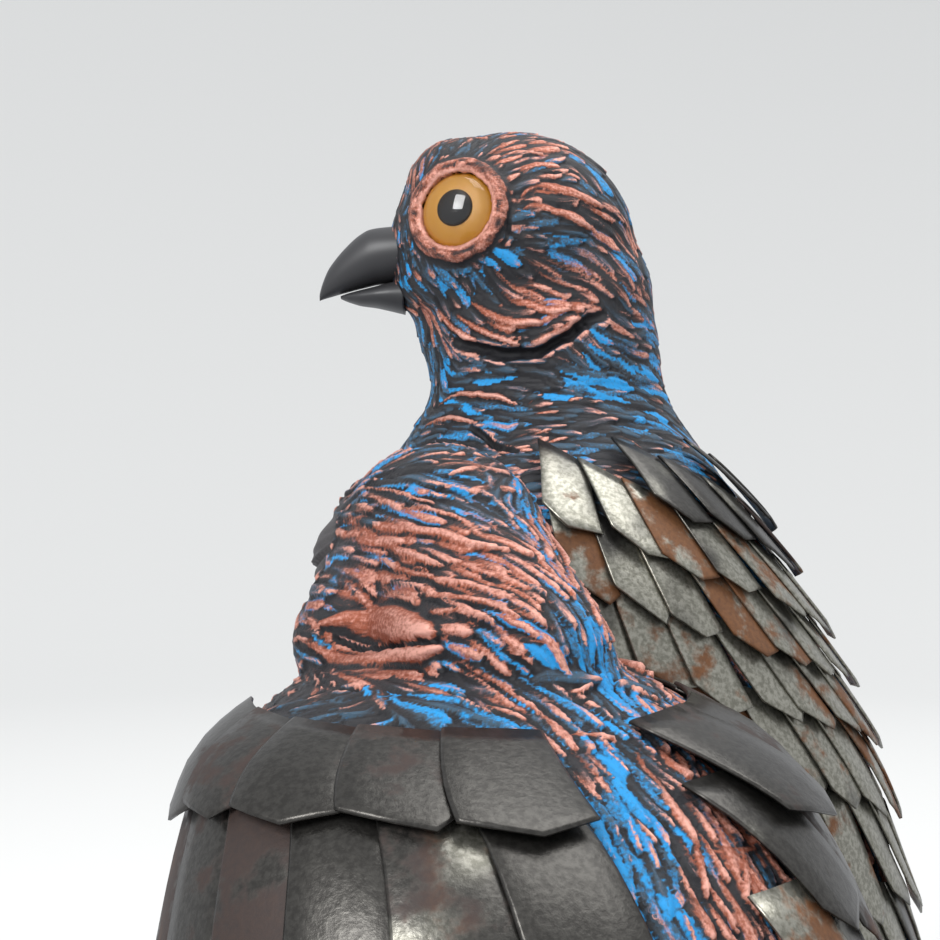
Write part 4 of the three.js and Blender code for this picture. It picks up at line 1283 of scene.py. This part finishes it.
for side, word in ((1, "left"), (-1, "right")):
    head = TALL["head"]
    turn = Vector((0, 0, 1)).rotation_difference(eye_aim(side)).to_matrix().to_4x4()
    at = head_frame(head) @ Matrix.Translation(eye_seat(head, side)) @ turn
    curve = [(EYE_RADIUS * math.cos(t), 1.6 + (EYE_DOME - 1.6) * math.sin(t))
             for t in np.linspace(0, math.pi / 2, 16)[:-1]]
    dome = turned(f"tall_dove_{word}_eye_glass", [(0, 0), (EYE_RADIUS, 0)] + curve + [(0, EYE_DOME)], at)
    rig.slot(dome, "eye_glass")
    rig.replaces(dome, f"tall_dove_{word}_eye")
    iris = turned(f"tall_dove_{word}_iris",
                  [(0, 0.3), (5.75, 0.3), (5.75, 1.5), (5.0, 2.3), (2.9, 3.0), (0, 3.1)], at)
    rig.slot(iris, "eye_glass")
    pupil = turned(f"tall_dove_{word}_pupil", [(0, 3.15), (2.75, 3.15), (2.5, 3.5), (0, 3.75)], at)
    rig.slot(pupil, "eye_glass")

# %% [markdown]
# ## The base
# The photograph cuts the statue off above its stand, so the stand is plain: a low disc of dark
# wood with rounded edges.

# %% Base
edge = [(91 + 3 * math.sin(t), 3 - 3 * math.cos(t)) for t in np.linspace(0, math.pi / 2, 8)]
rim = [(91 + 3 * math.cos(t), 15 + 3 * math.sin(t)) for t in np.linspace(0, math.pi / 2, 8)]
base = turned("turned_base", [(0, 0), (60, 0)] + edge + rim + [(60, 18), (0, 18)],
              Matrix.Identity(4), 160)
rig.slot(base, "dark_wood")
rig.replaces(base, "base")
print("pieces", len(pieces))

# %% [markdown]
# ## Materials
# The clay is painted in layers: black everywhere, blue brushed over it, copper dragged across the
# tops of the strokes. The copper is made paler and pinker on the highest points as a painted highlight.
# The paint attribute says how high a point stands on its stroke and how much
# copper and blue that stroke took; fine noise breaks the edges of each layer.

# %% Material helpers


def new_material(name):
    """A node material with its shader, its nodes and its links."""
    material = bpy.data.materials.new(name)
    material.use_nodes = True
    nodes, links = material.node_tree.nodes, material.node_tree.links
    return material, nodes, links, nodes["Principled BSDF"]


def attribute(nodes, name):
    """The node that reads a colour attribute."""
    node = nodes.new("ShaderNodeAttribute")
    node.attribute_name = name
    return node


def split(nodes, links, colour):
    """The red, green and blue outputs of a colour."""
    node = nodes.new("ShaderNodeSeparateColor")
    links.new(colour, node.inputs[0])
    return node.outputs[0], node.outputs[1], node.outputs[2]


def noise(nodes, links, scale, detail, roughness, vector=None):
    """A noise value from 0 to 1, with scale in lumps per metre."""
    node = nodes.new("ShaderNodeTexNoise")
    node.inputs["Scale"].default_value = scale
    node.inputs["Detail"].default_value = detail
    node.inputs["Roughness"].default_value = roughness
    if vector is not None:
        links.new(vector, node.inputs["Vector"])
    return node.outputs["Fac"]


def calc(nodes, links, operation, a, b, clamp=False):
    """One sum of two numbers or sockets."""
    node = nodes.new("ShaderNodeMath")
    node.operation = operation
    node.use_clamp = clamp
    for socket, value in zip(node.inputs, (a, b)):
        if isinstance(value, (int, float)):
            socket.default_value = value
        else:
            links.new(value, socket)
    return node.outputs[0]


def between(nodes, links, value, low, high):
    """0 below low, 1 above high, and smooth between them."""
    node = nodes.new("ShaderNodeMapRange")
    node.interpolation_type = "SMOOTHSTEP"
    for socket, amount in zip((node.inputs[0], node.inputs[1], node.inputs[2]), (value, low, high)):
        if isinstance(amount, (int, float)):
            socket.default_value = amount
        else:
            links.new(amount, socket)
    return node.outputs[0]


def mixed(nodes, links, factor, a, b):
    """A blend of two colours, given as numbers or sockets."""
    node = nodes.new("ShaderNodeMix")
    node.data_type = "RGBA"
    for socket, value in zip((node.inputs[0], node.inputs[6], node.inputs[7]), (factor, a, b)):
        if isinstance(value, (tuple, int, float)):
            socket.default_value = value
        else:
            links.new(value, socket)
    return node.outputs[2]


# %% [markdown]
# ### Painted clay

# %% Painted clay
clay_paint, nodes, links, shader = new_material("painted_clay")
paint = attribute(nodes, "paint")
crest, copper, blue = split(nodes, links, paint.outputs["Color"])
streak = attribute(nodes, "streak")
lateral, along, chance = split(nodes, links, streak.outputs["Color"])
combed = nodes.new("ShaderNodeCombineXYZ")
links.new(calc(nodes, links, "MULTIPLY", lateral, 2.6), combed.inputs[0])
links.new(calc(nodes, links, "MULTIPLY", along, 0.35), combed.inputs[1])
links.new(calc(nodes, links, "MULTIPLY", chance, 90.0), combed.inputs[2])
hairs = noise(nodes, links, 1.0, 3, 0.6, combed.outputs[0])
grain = noise(nodes, links, 1500, 4, 0.6)
patch = noise(nodes, links, 170, 3, 0.55)
flake = noise(nodes, links, 6500, 2, 0.5)
rough_edge = calc(nodes, links, "ADD", calc(nodes, links, "MULTIPLY", calc(
    nodes, links, "SUBTRACT", grain, 0.5), 0.5), calc(nodes, links, "MULTIPLY", calc(
        nodes, links, "SUBTRACT", hairs, 0.5), 0.55))
level = calc(nodes, links, "ADD", crest, rough_edge)
blue_edge = calc(nodes, links, "SUBTRACT", 0.75, calc(nodes, links, "MULTIPLY", blue, 0.6))
blue_mask = between(nodes, links, level, blue_edge, calc(nodes, links, "ADD", blue_edge, 0.22))
copper_edge = calc(nodes, links, "SUBTRACT", 1.0, calc(nodes, links, "MULTIPLY", copper, 0.72))
copper_mask = between(nodes, links, level, copper_edge, calc(nodes, links, "ADD", copper_edge, 0.2))
bright = mixed(nodes, links, between(nodes, links, calc(nodes, links, "ADD", blue, patch), 1.05, 1.5),
               (0.03, 0.075, 0.12, 1), (0.003, 0.3, 0.7, 1))
# Copper runs from dark to pale pink by how high a point stands on its stroke. The pale pink on the highest points is a
# painted highlight, and random patches vary it.
copper_with_painted_highlight = mixed(nodes, links, between(nodes, links, calc(nodes, links, "ADD", level, patch), 0.9, 1.5),
              (0.35, 0.105, 0.06, 1), (0.8, 0.42, 0.34, 1))
under = mixed(nodes, links, blue_mask, (0.008, 0.008, 0.011, 1), bright)
dressed = mixed(nodes, links, copper_mask, under, copper_with_painted_highlight)
lids = paint.outputs["Alpha"]
links.new(mixed(nodes, links, lids, dressed, (0.05, 0.046, 0.048, 1)), shader.inputs["Base Color"])
links.new(calc(nodes, links, "MULTIPLY", copper_mask, 0.8), shader.inputs["Metallic"])
links.new(calc(nodes, links, "ADD", 0.3, calc(nodes, links, "MULTIPLY", flake, 0.35)),
          shader.inputs["Roughness"])
bump = nodes.new("ShaderNodeBump")
bump.inputs["Strength"].default_value = 0.6
bump.inputs["Distance"].default_value = 0.0002
links.new(calc(nodes, links, "ADD", hairs, calc(nodes, links, "MULTIPLY", flake, 0.35)),
          bump.inputs["Height"])
links.new(bump.outputs[0], shader.inputs["Normal"])

# %% [markdown]
# ### Heat-darkened steel

# %% Steel
steel_sheet, nodes, links, shader = new_material("feather_steel")
finish = attribute(nodes, "finish")
rim, chance, along = split(nodes, links, finish.outputs["Color"])
where = nodes.new("ShaderNodeNewGeometry")
shift = nodes.new("ShaderNodeVectorMath")
shift.operation = "ADD"
links.new(where.outputs["Position"], shift.inputs[0])
links.new(calc(nodes, links, "MULTIPLY", chance, 3.7), shift.inputs[1])
blotch = noise(nodes, links, 160, 5, 0.6, shift.outputs[0])
speck = noise(nodes, links, 1400, 4, 0.6, shift.outputs[0])
broad = noise(nodes, links, 60, 2, 0.5, shift.outputs[0])
pale = mixed(nodes, links, between(nodes, links, speck, 0.35, 0.65),
             (0.2, 0.195, 0.16, 1), (0.36, 0.35, 0.3, 1))
rust_value = calc(nodes, links, "ADD", blotch, calc(nodes, links, "MULTIPLY", calc(
    nodes, links, "SUBTRACT", chance, 0.5), 0.35))
rust_mask = between(nodes, links, rust_value, 0.52, 0.66)
rust = mixed(nodes, links, speck, (0.06, 0.025, 0.012, 1), (0.24, 0.1, 0.035, 1))
soot_mask = between(nodes, links, calc(nodes, links, "ADD", broad, calc(
    nodes, links, "MULTIPLY", finish.outputs["Alpha"], 0.5)), 0.55, 0.72)
skin_colour = mixed(nodes, links, rust_mask, pale, rust)
skin_colour = mixed(nodes, links, calc(nodes, links, "MULTIPLY", soot_mask, 0.85), skin_colour,
                    (0.022, 0.02, 0.022, 1))
links.new(skin_colour, shader.inputs["Base Color"])
links.new(calc(nodes, links, "SUBTRACT", 0.85, calc(nodes, links, "MULTIPLY", rust_mask, 0.6)),
          shader.inputs["Metallic"])
links.new(calc(nodes, links, "ADD", 0.32, calc(nodes, links, "MULTIPLY", rust_mask, 0.3)),
          shader.inputs["Roughness"])
bump = nodes.new("ShaderNodeBump")
bump.inputs["Strength"].default_value = 0.25
bump.inputs["Distance"].default_value = 0.0002
links.new(speck, bump.inputs["Height"])
links.new(bump.outputs[0], shader.inputs["Normal"])

# %% [markdown]
# ### Beak, eye and base

# %% Small materials
horn, nodes, links, shader = new_material("horn_grey")
cloud = noise(nodes, links, 400, 3, 0.5)
links.new(mixed(nodes, links, cloud, (0.018, 0.018, 0.02, 1), (0.05, 0.05, 0.053, 1)),
          shader.inputs["Base Color"])
shader.inputs["Roughness"].default_value = 0.42

clear, nodes, links, shader = new_material("eye_glass")
shader.inputs["Base Color"].default_value = (1, 1, 1, 1)
shader.inputs["Roughness"].default_value = 0.0
shader.inputs["IOR"].default_value = 1.45
shader.inputs["Transmission Weight"].default_value = 1.0

amber, nodes, links, shader = new_material("amber_iris")
cloud = noise(nodes, links, 500, 4, 0.6)
links.new(mixed(nodes, links, cloud, (0.5, 0.16, 0.005, 1), (0.85, 0.45, 0.01, 1)),
          shader.inputs["Base Color"])
shader.inputs["Roughness"].default_value = 0.35

black, nodes, links, shader = new_material("pupil_black")
cloud = noise(nodes, links, 300, 2, 0.5)
links.new(mixed(nodes, links, cloud, (0.002, 0.002, 0.002, 1), (0.006, 0.005, 0.005, 1)),
          shader.inputs["Base Color"])
shader.inputs["Roughness"].default_value = 0.25

wood, nodes, links, shader = new_material("dark_wood")
coords = nodes.new("ShaderNodeTexCoord")
stretch = nodes.new("ShaderNodeMapping")
stretch.inputs["Scale"].default_value = (14, 160, 160)
links.new(coords.outputs["Object"], stretch.inputs["Vector"])
streak = noise(nodes, links, 1.0, 5, 0.6, stretch.outputs[0])
links.new(mixed(nodes, links, streak, (0.012, 0.008, 0.006, 1), (0.06, 0.036, 0.022, 1)),
          shader.inputs["Base Color"])
shader.inputs["Roughness"].default_value = 0.45

for name, piece in pieces.items():
    if name.endswith("_clay"):
        piece.data.materials.append(clay_paint)
    elif name.endswith("_cut"):
        piece.data.materials.append(steel_sheet)
    elif name.endswith("_beak"):
        piece.data.materials.append(horn)
    elif name.endswith("_glass"):
        piece.data.materials.append(clear)
    elif name.endswith("_iris"):
        piece.data.materials.append(amber)
    elif name.endswith("_pupil"):
        piece.data.materials.append(black)
    else:
        piece.data.materials.append(wood)

# %% [markdown]
# ## Studio
# A pale bowl of paper stands round the object, so no view has a horizon. The bowl is seen by the
# camera only. The light is a pale sky with one large window at the upper left.

# %% Backdrop, light and camera
scene = bpy.context.scene
bm = bmesh.new()
profile = [(0.0, 0.0), (0.9, 0.0)] + [(0.9 + 0.7 * math.sin(t), 0.7 - 0.7 * math.cos(t))
                                      for t in np.linspace(0, math.pi / 2, 13)[1:]] + [(1.6, 2.5)]
rings = []
for radius, height in profile[1:]:
    rings.append([bm.verts.new((radius * math.cos(2 * math.pi * k / 72),
                                radius * math.sin(2 * math.pi * k / 72), height)) for k in range(72)])
middle = bm.verts.new((0, 0, 0))
for k in range(72):
    m = (k + 1) % 72
    bm.faces.new((middle, rings[0][k], rings[0][m]))
    for low, high in zip(rings, rings[1:]):
        bm.faces.new((low[k], high[k], high[m], low[m]))
mesh = bpy.data.meshes.new("backdrop")
bm.to_mesh(mesh)
bm.free()
mesh.shade_smooth()
floor = place("backdrop", mesh)
paper, nodes, links, shader = new_material("pale_paper")
shader.inputs["Base Color"].default_value = (0.78, 0.78, 0.765, 1)
shader.inputs["Roughness"].default_value = 0.9
floor.data.materials.append(paper)
floor.visible_diffuse = False
floor.visible_glossy = False
floor.visible_shadow = False
floor.visible_transmission = False
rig.stage(floor)

world = bpy.data.worlds.new("studio")
world.use_nodes = True
world.node_tree.nodes["Background"].inputs[0].default_value = (0.95, 0.97, 1.0, 1)
world.node_tree.nodes["Background"].inputs[1].default_value = 0.75
scene.world = world


def soft_light(name, location, target, size, power):
    """A soft rectangular light that looks at a target. Places are in metres."""
    data = bpy.data.lights.new(name, "AREA")
    data.shape = "RECTANGLE"
    data.size, data.size_y = size
    data.energy = power
    light = bpy.data.objects.new(name, data)
    scene.collection.objects.link(light)
    light.location = location
    light.rotation_mode = "QUATERNION"
    light.rotation_quaternion = (Vector(target) - Vector(location)).to_track_quat("-Z", "Y")
    return light


soft_light("window", (-0.55, -0.75, 0.75), (0, 0, 0.15), (0.35, 0.5), 9)
soft_light("ceiling", (0.3, 0.1, 1.1), (0, 0, 0.12), (0.8, 0.8), 7)

camera = bpy.data.objects.new("camera", bpy.data.cameras.new("camera"))
scene.collection.objects.link(camera)
camera.location = Vector(CAMERA) * MM
camera.rotation_euler = (math.radians(90), 0, 0)
camera.data.sensor_width = 36
camera.data.lens = 18 / HALF_VIEW
camera.data.clip_start = 0.01
scene.camera = camera
scene.view_settings.view_transform = "Standard"

# %% Write the sizes and finish
with open("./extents.json", "w") as out:
    json.dump({"cad": [list(c) for c in cad_box], "visual": [list(c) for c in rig.bounds()]}, out)
print(open("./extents.json").read())
